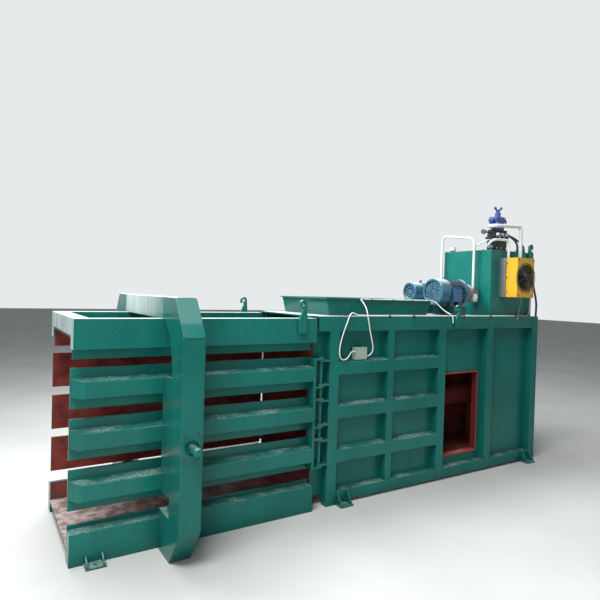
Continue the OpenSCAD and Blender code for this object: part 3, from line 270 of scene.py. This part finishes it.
def paint(name, color, rough=0.20, dust=0.3, wear=0.3, gloss=0.25, streaks=0.35,
          dust_color=(0.60, 0.66, 0.64), lining=None, finish=None):
    """Gloss paint on steel plate, slightly wavy, with worn edges, painted shade in corners, and dust on top
    that is partly painted highlight.
    lining is the colour of the plates' faces inside the press, and finish changes the tone last."""
    s = Shader(name)
    tone = painted_tone(s, color, streaks, dust_color)
    soft_normal = s.rounded_normal(0.007)
    scuffs = s.ramp(s.noise(22, 4), 0.42, 0.62)
    worn = s.math("MULTIPLY", s.math("MULTIPLY", s.edges(soft_normal), scuffs), wear)
    tone = s.mix(worn, tone, tuple(0.8 * channel + 0.10 for channel in color))
    if lining:
        rubbed = s.mix(s.ramp(s.noise(7, 5), 0.35, 0.7), lining, shade(lining, 0.45))
        tone = s.mix(inside_press(s), tone, rubbed)
    if finish:
        tone = finish(s, tone)
    # Painted shade: corners and recesses are darkened towards a third of the paint's colour
    tone = s.mix(s.math("MULTIPLY", s.corners(0.16), 0.6), tone, shade(color, 0.35))
    dust_and_sheen = dust_and_top_sheen(s, dust)
    # Dust, and the painted highlight on the machine's top, mix dust_color into the tone
    s.set("Base Color", s.mix(dust_and_sheen, tone, dust_color))
    blotch = s.ramp(s.noise(6, 4), 0.3, 0.7, rough * 0.8, rough * 1.35)
    s.set("Roughness", s.math("ADD", blotch, s.math("MULTIPLY", dust_and_sheen, 0.1)))
    s.set("Specular IOR Level", gloss)
    wavy = s.bump(s.noise(3.2, 2), 0.2, 0.012, soft_normal)
    s.set("Normal", s.bump(s.noise(170, 2), 0.08, 0.001, wavy))
    return s.material


def inside_press(s):
    """1 on the faces that line the channel and the press chamber."""
    across = s.math("ABSOLUTE", s.along("Y"), 0)
    return s.math("MULTIPLY", s.between(across, -1, WALL_IN), s.between(s.along("Z"), *INSIDE_ZS))


def window_jamb_shade(s, tone):
    """Painted shade on the window frame's jambs (faces turned along X); its lip and sill keep the frame's
    bright red.
    """
    across = s.math("ABSOLUTE", s.axis_of_normal("X"), 0)
    return s.mix(s.ramp(across, 0.3, 0.7), tone, JAMB_SHADE_RED)


def floor_tone(s, tone):
    """Bales have rubbed the floor's primer pale towards the exit."""
    near_exit = s.ramp(s.math("ADD", s.along("X"), s.ramp(s.noise(4, 6), 0.2, 0.8, -0.7, 0.7)), -0.9, -2.0)
    grey = s.mix(s.ramp(s.noise(14, 6), 0.35, 0.65), (0.20, 0.14, 0.13), (0.52, 0.47, 0.45))
    return s.mix(s.math("MULTIPLY", near_exit, 0.92), tone, grey)


def exit_face_painted_sheen(s, tone):
    """A pale painted reflection on the faces towards the exit, thinning out towards the near side of the
    yoke.
    """
    to_exit = s.ramp(s.axis_of_normal("X"), -0.5, -0.9)
    spread = s.math("MAXIMUM", s.ramp(s.along("Y"), -0.75, 0.1), s.ramp(s.along("X"), -2.2, -2.3))
    streaks = s.ramp(s.noise(11, 4, (1, 1, 0.15)), 0.3, 0.7, 0.7, 1.0)
    sheen = s.math("MULTIPLY", s.math("MULTIPLY", to_exit, spread), streaks)
    return s.mix(sheen, tone, SHEEN_PALE)


def pedestal_painted_shade(s, tone):
    """Painted shade: the motors' pedestals, under the motors, are darkened to a dark green."""
    return s.mix(s.ramp(s.along("Z"), PEDESTAL_TOP + 0.002, PEDESTAL_TOP - 0.002), tone, shade(GREEN, 0.30))


def cowl_tone(s, tone):
    """The sunk grille of each cowl is darker than its rolled rim."""
    faces_out = s.ramp(s.axis_of_normal("X"), -0.5, -0.9)
    sunk = 0.0
    for place, radius in ((NEAR_MOTOR, NEAR_GRILLE_R), (FAR_MOTOR, FAR_GRILLE_R)):
        dy = s.math("SUBTRACT", s.along("Y"), place[1])
        dz = s.math("SUBTRACT", s.along("Z"), place[2])
        squares = s.math("ADD", s.math("MULTIPLY", dy, dy), s.math("MULTIPLY", dz, dz))
        far_off = s.math("SQRT", squares, 0)
        sunk = s.math("MAXIMUM", s.ramp(far_off, radius + 0.001, radius - 0.001), sunk)
    grille = s.mix(s.ramp(s.noise(24, 4), 0.3, 0.7), (0.030, 0.075, 0.115), (0.050, 0.145, 0.21))
    return s.mix(s.math("MULTIPLY", faces_out, sunk), tone, grille)


def metal(name, color, rough):
    """Bare or plated steel with a fine grain."""
    s = Shader(name)
    grain = s.noise(140, 4)
    s.set("Base Color", s.mix(s.ramp(s.noise(9, 4), 0.3, 0.7), shade(color, 0.78), shade(color, 1.08)))
    s.set("Metallic", 1.0)
    s.set("Roughness", s.ramp(grain, 0.25, 0.75, rough * 0.75, rough * 1.3))
    s.set("Normal", s.bump(grain, 0.06, 0.0006, s.rounded_normal(0.002)))
    return s.material


def casting(name, color, rough=0.55):
    """Rough cast iron or aluminium."""
    s = Shader(name)
    grain = s.noise(260, 4)
    s.set("Base Color", s.mix(s.ramp(s.noise(18, 4), 0.3, 0.7), shade(color, 0.7), shade(color, 1.25)))
    s.set("Metallic", 0.35)
    s.set("Roughness", s.ramp(grain, 0.3, 0.7, rough * 0.85, rough * 1.15))
    s.set("Normal", s.bump(grain, 0.5, 0.0012, s.rounded_normal(0.004)))
    return s.material


def plastic(name, color, rough=0.42):
    """Smooth plastic, as on the cords and the small box."""
    s = Shader(name)
    s.set("Base Color", s.mix(s.ramp(s.noise(30, 3), 0.3, 0.7), shade(color, 0.88), shade(color, 1.06)))
    s.set("Roughness", s.ramp(s.noise(40, 3), 0.3, 0.7, rough * 0.85, rough * 1.15))
    s.set("Normal", s.bump(s.noise(400, 2), 0.08, 0.0005))
    return s.material


def rubber(name, color):
    """Dull black rubber of the hoses."""
    s = Shader(name)
    s.set("Base Color", s.mix(s.ramp(s.noise(40, 3), 0.3, 0.7), color, shade(color, 2.6)))
    s.set("Roughness", s.ramp(s.noise(60, 3), 0.3, 0.7, 0.38, 0.6))
    s.set("Normal", s.bump(s.noise(500, 2), 0.25, 0.0008))
    return s.material


# Places on the machine, in metres
# Edges of the posts along the body, and the panels between them
POST_EDGES = (-0.323, 0.877, 0.971, 1.585, 1.683, 2.340)
PANELS = ((-0.320, 0.190), (0.265, 0.875), (0.973, 1.583), (1.685, 2.338))
# Clips of the fan cord on the rail, and of the other cord on the rim
CLIP_XS = (0.230, 0.530, 1.215, 1.625, 2.056)
RIM_CLIP_XS = (0.100, 0.360, 0.610, 0.820)
RIM_CORD = (-0.406, 1.766)             # y and z
# Flange of each motor, and the pumps' caps as x, y and the way they face
FLANGE_XS = (1.410, 1.510)
PUMP_CAPS = ((1.6105, -0.308, -1), (1.633, 0.248, 1))
PUMP_CAP_Z = 1.804
# On the tank's lid: the three valves, the breather and the two hose ports
VALVE_XS = (1.8373, 1.9100, 1.9827)
VALVE_Y = -0.340
BREATHER = (1.745, 0.135)
LID_PORT_XS = (2.179, 2.291)
TANK_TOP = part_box("oil_tank")[1].z + 0.010
# Faces of the press: the walls' inner and outer side, the lining's height, and the height of the machine's
# top where thick dust and painted highlight lie
WALL_IN = 0.4295
WALL_OUT = 0.4455
INSIDE_ZS = (0.0995, 1.478)
TOP_DUST_AND_SHEEN_ZS = (1.57, 1.60)
# Rails, motors and the sunk grilles of their cowls
RAIL_Y = -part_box("upper_rails")[0].y
RAIL_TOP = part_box("upper_rails")[1].z
NEAR_MOTOR = (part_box("motor_cowls")[0].x, -0.260, 1.856)
FAR_MOTOR = (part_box("motor_fan_far")[0].x - 0.032, 0.200, 1.856)
NEAR_GRILLE_R = 0.112
FAR_GRILLE_R = 0.077
PEDESTAL_TOP = RAIL_TOP + 0.100

# Colours of the paints
GREEN = (0.0058, 0.122, 0.103)
PRIMER = (0.17, 0.034, 0.028)
# Dark red of the painted shade on the window's jambs
JAMB_SHADE_RED = (0.085, 0.014, 0.013)
# Pale colour of the painted reflection on faces towards the exit
SHEEN_PALE = (0.58, 0.70, 0.68)
MATERIALS = {
    "green_paint": paint("green_paint", GREEN, lining=PRIMER),
    "red_primer": paint("red_primer", PRIMER, rough=0.5, dust=0.25, dust_color=(0.30, 0.20, 0.18),
                        finish=floor_tone),
    "bright_steel": metal("bright_steel", (0.62, 0.62, 0.60), 0.25),
    "dark_steel": metal("dark_steel", (0.13, 0.13, 0.14), 0.42),
    "cooler_metal": metal("cooler_metal", (0.36, 0.39, 0.41), 0.45),
    "yellow_paint": paint("yellow_paint", (0.46, 0.270, 0.020), rough=0.3, dust=0.3, streaks=0.12),
    "black_guard": paint("black_guard", (0.012, 0.012, 0.015), rough=0.42, dust=0.2, wear=0.5),
    "blue_paint": paint("blue_paint", (0.022, 0.100, 0.20), dust=0.35, streaks=0.1, gloss=0.6,
                        finish=pedestal_painted_shade),
    "light_blue_paint": paint("light_blue_paint", (0.026, 0.120, 0.190), dust=0.35, streaks=0.1, gloss=0.6,
                              finish=cowl_tone),
    "grey_casting": casting("grey_casting", (0.20, 0.21, 0.22)),
    "white_pipe": paint("white_pipe", (0.58, 0.63, 0.61), rough=0.3, dust=0.1, streaks=0.05),
    "valve_black": paint("valve_black", (0.012, 0.022, 0.022), rough=0.35, dust=0.15, streaks=0.1),
    "valve_blue": paint("valve_blue", (0.045, 0.085, 0.30), rough=0.3, dust=0.15, streaks=0.1),
    "box_grey": plastic("box_grey", (0.25, 0.33, 0.29)),
    "white_cord": plastic("white_cord", (0.66, 0.70, 0.67), 0.4),
    "earth_yellow": plastic("earth_yellow", (0.42, 0.44, 0.08), 0.4),
    "black_hose": rubber("black_hose", (0.010, 0.010, 0.011)),
}
PLAIN_GREEN = paint("plain_green", GREEN)
SHEENED_GREEN = paint("sheened_green", GREEN, finish=exit_face_painted_sheen)
DARK_PRIMER = paint("dark_primer", shade(PRIMER, 0.9), rough=0.4, dust_color=(0.14, 0.07, 0.06))
WINDOW_RED_SHADED = paint("window_red_shaded", (0.34, 0.036, 0.032), rough=0.4, dust=0.2, finish=window_jamb_shade)
# Nodes that differ from their slot: no lining, a pale painted reflection on the faces towards the exit, or
# dark primer
OUTSIDE_GREEN = {"top_deck", "floor_bearers"}
SHEENED_NODES = {"exit_cross_beam", "yoke_top_beam"}
INSIDE_DARK = {"main_cylinder", "cylinder_saddles"}


def dress_frame():
    """Gives every CAD node the material of its slot."""
    for part in frame["record"]["subparts"]:
        name = part["node"]
        material = MATERIALS[part["material_slot"]]
        if name in OUTSIDE_GREEN:
            material = PLAIN_GREEN
        elif name in SHEENED_NODES:
            material = SHEENED_GREEN
        elif name in INSIDE_DARK:
            material = DARK_PRIMER
        elif name == "window_frame":
            material = WINDOW_RED_SHADED
        nodes[name].data.materials.clear()
        nodes[name].data.materials.append(material)


def piece(name, build, material, bevel=0.0):
    """A mesh piece that build(bm) draws, with softened edges, riding the machine's frame."""
    bm = bmesh.new()
    build(bm)
    if bevel:
        sharp = [edge for edge in bm.edges if edge.is_manifold and edge.calc_face_angle(0) > SHARP]
        bmesh.ops.bevel(bm, geom=sharp, offset=bevel, segments=2, affect="EDGES", profile=0.6)
    for face in bm.faces:
        face.smooth = True
    mesh = bpy.data.meshes.new(name)
    bm.to_mesh(mesh)
    bm.free()
    mesh.set_sharp_from_angle(angle=SHARP)
    mesh.materials.append(material)
    obj = bpy.data.objects.new(name, mesh)
    bpy.context.collection.objects.link(obj)
    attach(obj, "frame")


def turned(bm, profile, at, axis, sides=32):
    """A solid of revolution: profile is a list of (distance along the axis, radius)."""
    axis = Vector(axis).normalized()
    side = axis.orthogonal().normalized()
    up = axis.cross(side)
    rings = []
    for along, radius in profile:
        centre = Vector(at) + axis * along
        rings.append([bm.verts.new(centre + radius * (math.cos(a) * side + math.sin(a) * up))
                      for a in (2 * math.pi * k / sides for k in range(sides))])
    for low, high in zip(rings, rings[1:]):
        for k in range(sides):
            n = (k + 1) % sides
            bm.faces.new((low[k], low[n], high[n], high[k]))
    bm.faces.new(list(reversed(rings[0])))
    bm.faces.new(rings[-1])


def hexagon(bm, at, axis, radius, height):
    """A bolt head on a washer."""
    turned(bm, [(0, radius * 1.45), (height * 0.22, radius * 1.45)], at, axis, 20)
    turned(bm, [(height * 0.22, radius), (height * 0.9, radius), (height, radius * 0.86)], at, axis, 6)


def slab(bm, low, high):
    """A block between two corners."""
    xs, ys, zs = zip(low, high)
    corners = [bm.verts.new((x, y, z)) for x in xs for y in ys for z in zs]
    for face in ((0, 1, 3, 2), (4, 6, 7, 5), (0, 4, 5, 1), (2, 3, 7, 6), (0, 2, 6, 4), (1, 5, 7, 3)):
        bm.faces.new([corners[i] for i in face])


def strip_along_x(bm, outline, x0, x1):
    """Extrudes a closed (y, z) outline from x0 to x1."""
    ends = [[bm.verts.new((x, y, z)) for y, z in outline] for x in (x0, x1)]
    count = len(outline)
    for k in range(count):
        n = (k + 1) % count
        bm.faces.new((ends[0][k], ends[0][n], ends[1][n], ends[1][k]))
    bm.faces.new(list(reversed(ends[0])))
    bm.faces.new(ends[1])


def bead(bm, start, end, radius=0.0035):
    """A weld bead: a low ridge whose ripples come from its changing thickness."""
    start, end = Vector(start), Vector(end)
    length = (end - start).length
    steps = max(4, int(length / 0.012))
    profile = [(length * k / steps, radius * (1.0 if k % 2 else 0.78)) for k in range(steps + 1)]
    turned(bm, profile, start, end - start, 6)


def make_weld_beads():
    """Seams where the posts cross the rails, where ribs meet posts, and up the yoke's corners."""
    rail_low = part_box("upper_rails")[0].z
    low_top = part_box("lower_rails")[1].z
    low_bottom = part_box("lower_rails")[0].z
    end_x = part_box("rear_end_plate")[1].x

    def draw(bm):
        for side in (-1, 1):
            y = side * RAIL_Y
            for x in POST_EDGES:
                bead(bm, (x, y, rail_low), (x, y, RAIL_TOP - 0.004))
                bead(bm, (x, y, low_bottom + 0.004), (x, y, low_top))
            wall = side * WALL_OUT
            for x0, x1 in PANELS:
                bead(bm, (x0, wall, low_top + 0.002), (x1, wall, low_top + 0.002))
                bead(bm, (x0, wall, rail_low - 0.002), (x1, wall, rail_low - 0.002))
            corner = (end_x - 0.003, side * (WALL_OUT - 0.0015))
            bead(bm, (*corner, 0.03), (*corner, rail_low))
    piece("weld_beads", draw, PLAIN_GREEN)


def make_clips():
    """Black saddle clips of the fan cord on the rail, and small rings of the other cord on the rim."""
    def saddles(bm):
        y, z = -RAIL_Y, RAIL_TOP
        outline = [(y - 0.003, z - 0.020), (y - 0.003, z + 0.008), (y + 0.003, z + 0.014),
                   (y + 0.026, z + 0.014), (y + 0.029, z + 0.008), (y + 0.029, z), (y + 0.026, z),
                   (y + 0.026, z + 0.0115), (y + 0.003, z + 0.0115), (y, z + 0.008), (y, z - 0.020)]
        for x in CLIP_XS:
            strip_along_x(bm, outline, x - 0.009, x + 0.009)
    piece("rail_clips", saddles, MATERIALS["black_guard"])

    def rings(bm):
        y, z = RIM_CORD
        for x in RIM_CLIP_XS:
            turned(bm, [(-0.005, 0.0062), (-0.003, 0.0072), (0.003, 0.0072), (0.005, 0.0062)],
                   (x, y, z), (1, 0, 0), 20)
            slab(bm, (x - 0.005, y + 0.0015, z + 0.0005), (x + 0.005, y + 0.006, z + 0.0045))
    piece("rim_clips", rings, MATERIALS["black_guard"])


def make_bolts():
    """Bolts of the tank's lid, the motors' flanges and the cooler's shroud."""
    low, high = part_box("tank_lid")
    inset = 0.016

    def lid(bm):
        for k in range(8):
            x = low.x + inset + (high.x - low.x - 2 * inset) * k / 7
            for y in (low.y + inset, high.y - inset):
                if y > 0 or min(abs(x - port) for port in LID_PORT_XS) > 0.035:
                    hexagon(bm, (x, y, TANK_TOP), (0, 0, 1), 0.007, 0.008)
        for k in range(1, 6):
            y = low.y + inset + (high.y - low.y - 2 * inset) * k / 6
            for x in (low.x + inset, high.x - inset):
                hexagon(bm, (x, y, TANK_TOP), (0, 0, 1), 0.007, 0.008)
    piece("lid_bolts", lid, MATERIALS["dark_steel"])

    def flanges(bm):
        circles = ((NEAR_MOTOR, 0.126, FLANGE_XS[0]), (FAR_MOTOR, 0.091, FLANGE_XS[1]))
        for (_, y, z), radius, face_x in circles:
            for k in range(8):
                a = math.pi * (k + 0.5) / 4
                at = (face_x + 0.014, y + radius * math.cos(a), z + radius * math.sin(a))
                hexagon(bm, at, (1, 0, 0), 0.008, 0.009)
    piece("flange_bolts", flanges, MATERIALS["bright_steel"])

    def shroud(bm):
        lowest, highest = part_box("cooler_shroud")
        for z in (lowest.z + 0.02, highest.z - 0.02):
            for x in (lowest.x + 0.018, highest.x - 0.018):
                hexagon(bm, (x, lowest.y, z), (0, -1, 0), 0.006, 0.006)
        for z in (lowest.z + 0.06, (lowest.z + highest.z) / 2, highest.z - 0.06):
            for x, out in ((lowest.x, -1), (highest.x, 1)):
                hexagon(bm, (x, highest.y - 0.016, z), (out, 0, 0), 0.006, 0.006)
    piece("shroud_screws", shroud, MATERIALS["dark_steel"])


def make_pump_caps():
    """White domed caps on the pumps and the white breather on the tank's lid."""
    def caps(bm):
        for x, y, out in PUMP_CAPS:
            turned(bm, [(0, 0.0435), (0.014, 0.0440), (0.022, 0.037), (0.029, 0.023), (0.0335, 0.006)],
                   (x, y, PUMP_CAP_Z), (0, out, 0))
    piece("pump_caps", caps, MATERIALS["white_pipe"], bevel=0.0012)

    def breather(bm):
        x, y = BREATHER
        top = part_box("tank_lid")[1].z
        turned(bm, [(-0.041, 0.0365), (-0.038, 0.0385), (-0.008, 0.0385), (0.0005, 0.034), (0.004, 0.020)],
               (x, y, top), (0, 0, 1), 40)
    piece("breather_cap", breather, MATERIALS["white_pipe"])


def make_valve_details():
    """Plugs, hex nuts and connectors on the valve block, and the gauge's blank dial."""
    gauge_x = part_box("valve_manifold")[0].x
    mid_y = VALVE_Y
    coil_z = TANK_TOP + 0.145

    def nuts(bm):
        for x in VALVE_XS:
            hexagon(bm, (x, mid_y - 0.089, coil_z), (0, -1, 0), 0.007, 0.008)
            hexagon(bm, (x, mid_y + 0.081, coil_z), (0, 1, 0), 0.008, 0.008)
            for side in (-1, 1):
                turned(bm, [(0, 0.009), (0.005, 0.009), (0.006, 0.007)],
                       (x, mid_y + side * 0.055, TANK_TOP + 0.03), (0, side, 0), 6)
        for x in (VALVE_XS[1] - 0.064, VALVE_XS[1] + 0.064):
            for z in (TANK_TOP + 0.300, TANK_TOP + 0.360):
                hexagon(bm, (x, mid_y - 0.046, z), (0, -1, 0), 0.006, 0.007)
    piece("valve_nuts", nuts, MATERIALS["bright_steel"])

    def plugs(bm):
        for x in VALVE_XS:
            slab(bm, (x - 0.014, mid_y - 0.083, coil_z + 0.0185),
                 (x + 0.014, mid_y - 0.055, coil_z + 0.046))
    piece("coil_plugs", plugs, MATERIALS["white_pipe"], bevel=0.003)

    def bezel(bm):
        turned(bm, [(-0.004, 0.0275), (0.002, 0.0275), (0.004, 0.0255), (0.004, 0.0225), (0.0015, 0.0215)],
               (gauge_x, mid_y, TANK_TOP + 0.196), (-1, 0, 0), 40)
    piece("gauge_bezel", bezel, MATERIALS["dark_steel"])


def smooth_path(points, steps=6):
    """A Catmull-Rom curve through points given in millimetres, returned in metres."""
    p = [Vector(point) / 1000 for point in points]
    path = []
    for i in range(len(p) - 1):
        a, b, c, d = p[max(i - 1, 0)], p[i], p[i + 1], p[min(i + 2, len(p) - 1)]
        for k in range(steps):
            t = k / steps
            path.append(0.5 * (2 * b + (c - a) * t + (2 * a - 5 * b + 4 * c - d) * t * t
                               + (3 * b - a - 3 * c + d) * t * t * t))
    path.append(p[-1])
    return path


def cord_piece(name, node, route, radius, slot_name):
    """A round cord along the route of its CAD node, which it replaces."""
    path = smooth_path(route)
    data = bpy.data.curves.new(name, "CURVE")
    data.dimensions = "3D"
    data.bevel_depth = radius
    data.bevel_resolution = 4
    data.use_fill_caps = True
    spline = data.splines.new("POLY")
    spline.points.add(len(path) - 1)
    for point, at in zip(spline.points, path):
        point.co = (*at, 1)
    data.materials.append(MATERIALS[slot_name])
    cord = bpy.data.objects.new(name, data)
    bpy.context.collection.objects.link(cord)
    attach(cord, "frame")
    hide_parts(node)


# Radii of the cords and hoses, in metres
CORD_R = 0.005
LEAD_R = 0.002
HOSE_R = 0.011

# Their routes, in millimetres, as in the part's source
FAN_CORD = [
    (-145, -500, 1309), (-151, -500, 1309), (-157, -500, 1309), (-174, -501, 1307), (-198, -511, 1297),
    (-226, -524, 1274), (-258, -531, 1252), (-294, -532, 1245), (-322, -532, 1263), (-334, -532, 1302),
    (-331, -532, 1360), (-314, -532, 1430), (-288, -532, 1500), (-262, -532, 1560), (-246, -533, 1602),
    (-229, -531, 1632), (-199, -522, 1645), (-163, -510, 1639), (-125, -503, 1627), (-25, -500, 1622),
    (135, -506, 1622), (335, -500, 1622), (535, -506, 1622), (735, -500, 1622), (935, -506, 1622),
    (1215, -500, 1622), (1625, -506, 1622), (2055, -500, 1622), (2190, -494, 1622), (2290, -478, 1622),
    (2338, -460, 1634), (2368, -450, 1664), (2380, -446, 1710), (2382, -446, 1800), (2378, -446, 1862),
    (2358, -446, 1908), (2318, -446, 1928), (2185, -446, 1930), (2149, -446, 1930), (2137, -446, 1930)]
PENDANT_CORD = [
    (-25, -490, 1259), (-19, -490, 1259), (-12, -490, 1259), (8, -496, 1264), (25, -510, 1281),
    (33, -524, 1310), (30, -530, 1352), (15, -531, 1410), (-5, -531, 1480), (-22, -532, 1550),
    (-34, -532, 1600), (-42, -529, 1648), (-47, -512, 1694), (-50, -480, 1731), (-46, -446, 1755),
    (-27, -419, 1766), (5, -408, 1767), (45, -406, 1766), (235, -406, 1766), (485, -406, 1766),
    (735, -406, 1766), (835, -406, 1766), (878, -409, 1763), (910, -424, 1746), (936, -446, 1714),
    (962, -472, 1680), (990, -500, 1653), (1014, -522, 1636), (1030, -534, 1610), (1037, -536, 1580),
    (1040, -534, 1550)]
EARTH_LEAD = [
    (2099, -535, 1824), (2099, -535, 1819), (2099, -535, 1814), (2096, -537, 1795), (2080, -539, 1740),
    (2062, -537, 1670), (2052, -536, 1622), (2049, -535.5, 1600), (2049, -533.5, 1588.5),
    (2049, -528, 1582.3), (2049, -524, 1581), (2049, -522, 1581), (2049, -520, 1581)]
FRONT_HOSE = [
    (2015, -365, 2506), (2022, -365, 2506), (2030, -365, 2506), (2060, -367, 2504), (2105, -377, 2490),
    (2143, -390, 2462), (2168, -401, 2426), (2179, -406, 2392), (2179, -406, 2379), (2179, -406, 2366)]
REAR_VALVE_HOSE = [
    (2015, -318, 2526), (2022, -318, 2526), (2030, -318, 2526), (2070, -320, 2524), (2130, -332, 2513),
    (2190, -352, 2488), (2240, -377, 2452), (2273, -396, 2417), (2288, -404.5, 2391),
    (2291, -406, 2378), (2291, -406, 2372), (2291, -406, 2366)]
REAR_HOSE = [
    (2350, -476, 2120), (2350, -476, 2112), (2350, -476, 2104), (2354, -478, 2070), (2366, -486, 1990),
    (2384, -497, 1900), (2400, -506, 1820), (2411, -508, 1750), (2415, -506, 1695), (2414, -505, 1655),
    (2413, -505, 1632), (2413, -505, 1624), (2413, -505, 1616)]


def make_cords():
    """The six free cords and hoses, each in the place of its CAD node."""
    cord_piece("fan_cord_run", "fan_cord", FAN_CORD, CORD_R, "white_cord")
    cord_piece("pendant_cord_run", "pendant_cord", PENDANT_CORD, CORD_R, "white_cord")
    cord_piece("earth_lead_run", "earth_lead", EARTH_LEAD, LEAD_R, "earth_yellow")
    cord_piece("valve_hose_front_run", "valve_hose_front", FRONT_HOSE, HOSE_R, "black_hose")
    cord_piece("valve_hose_rear_run", "valve_hose_rear", REAR_VALVE_HOSE, HOSE_R, "black_hose")
    cord_piece("rear_hose_run", "rear_hose", REAR_HOSE, HOSE_R, "black_hose")


def make_floor():
    """A plain pale floor that reaches far past the picture."""
    s = Shader("floor")
    s.set("Base Color", s.mix(s.ramp(s.noise(0.8, 4), 0.3, 0.7), (0.44, 0.45, 0.44), (0.49, 0.50, 0.49)))
    s.set("Roughness", 0.75)
    mesh = bpy.data.meshes.new("floor")
    half = 40
    corners = [(-half, -half, 0), (half, -half, 0), (half, half, 0), (-half, half, 0)]
    mesh.from_pydata(corners, [], [(0, 1, 2, 3)])
    floor = bpy.data.objects.new("floor", mesh)
    floor.data.materials.append(s.material)
    bpy.context.collection.objects.link(floor)


SKY_STRENGTH = 0.16
BACKGROUND = (0.80, 0.82, 0.83)

bpy.context.scene.view_settings.view_transform = "Standard"
make_camera()
make_cords()
dress_frame()
make_weld_beads()
make_clips()
make_bolts()
make_pump_caps()
make_valve_details()
make_floor()
make_world(SKY_STRENGTH, BACKGROUND)
area_light("skylight", (-4.5, -3.4, 8.5), (-0.5, -0.2, 0.9), (4, 2.5), 900, (1, 0.99, 0.97))
area_light("roof", (-1.2, 1.5, 6.5), (-0.3, 0, 1.2), (7, 3), 360, (0.95, 0.98, 1))
area_light("over_hopper", (-2.2, 1.2, 5.2), (1.7, -0.1, 1.9), (2.5, 2), 310, (1, 1, 1))
area_light("fill", (-4.5, -5.5, 1.8), (1.2, 0, 0.7), (3, 2), 150, (1, 1, 1), in_gloss=False)
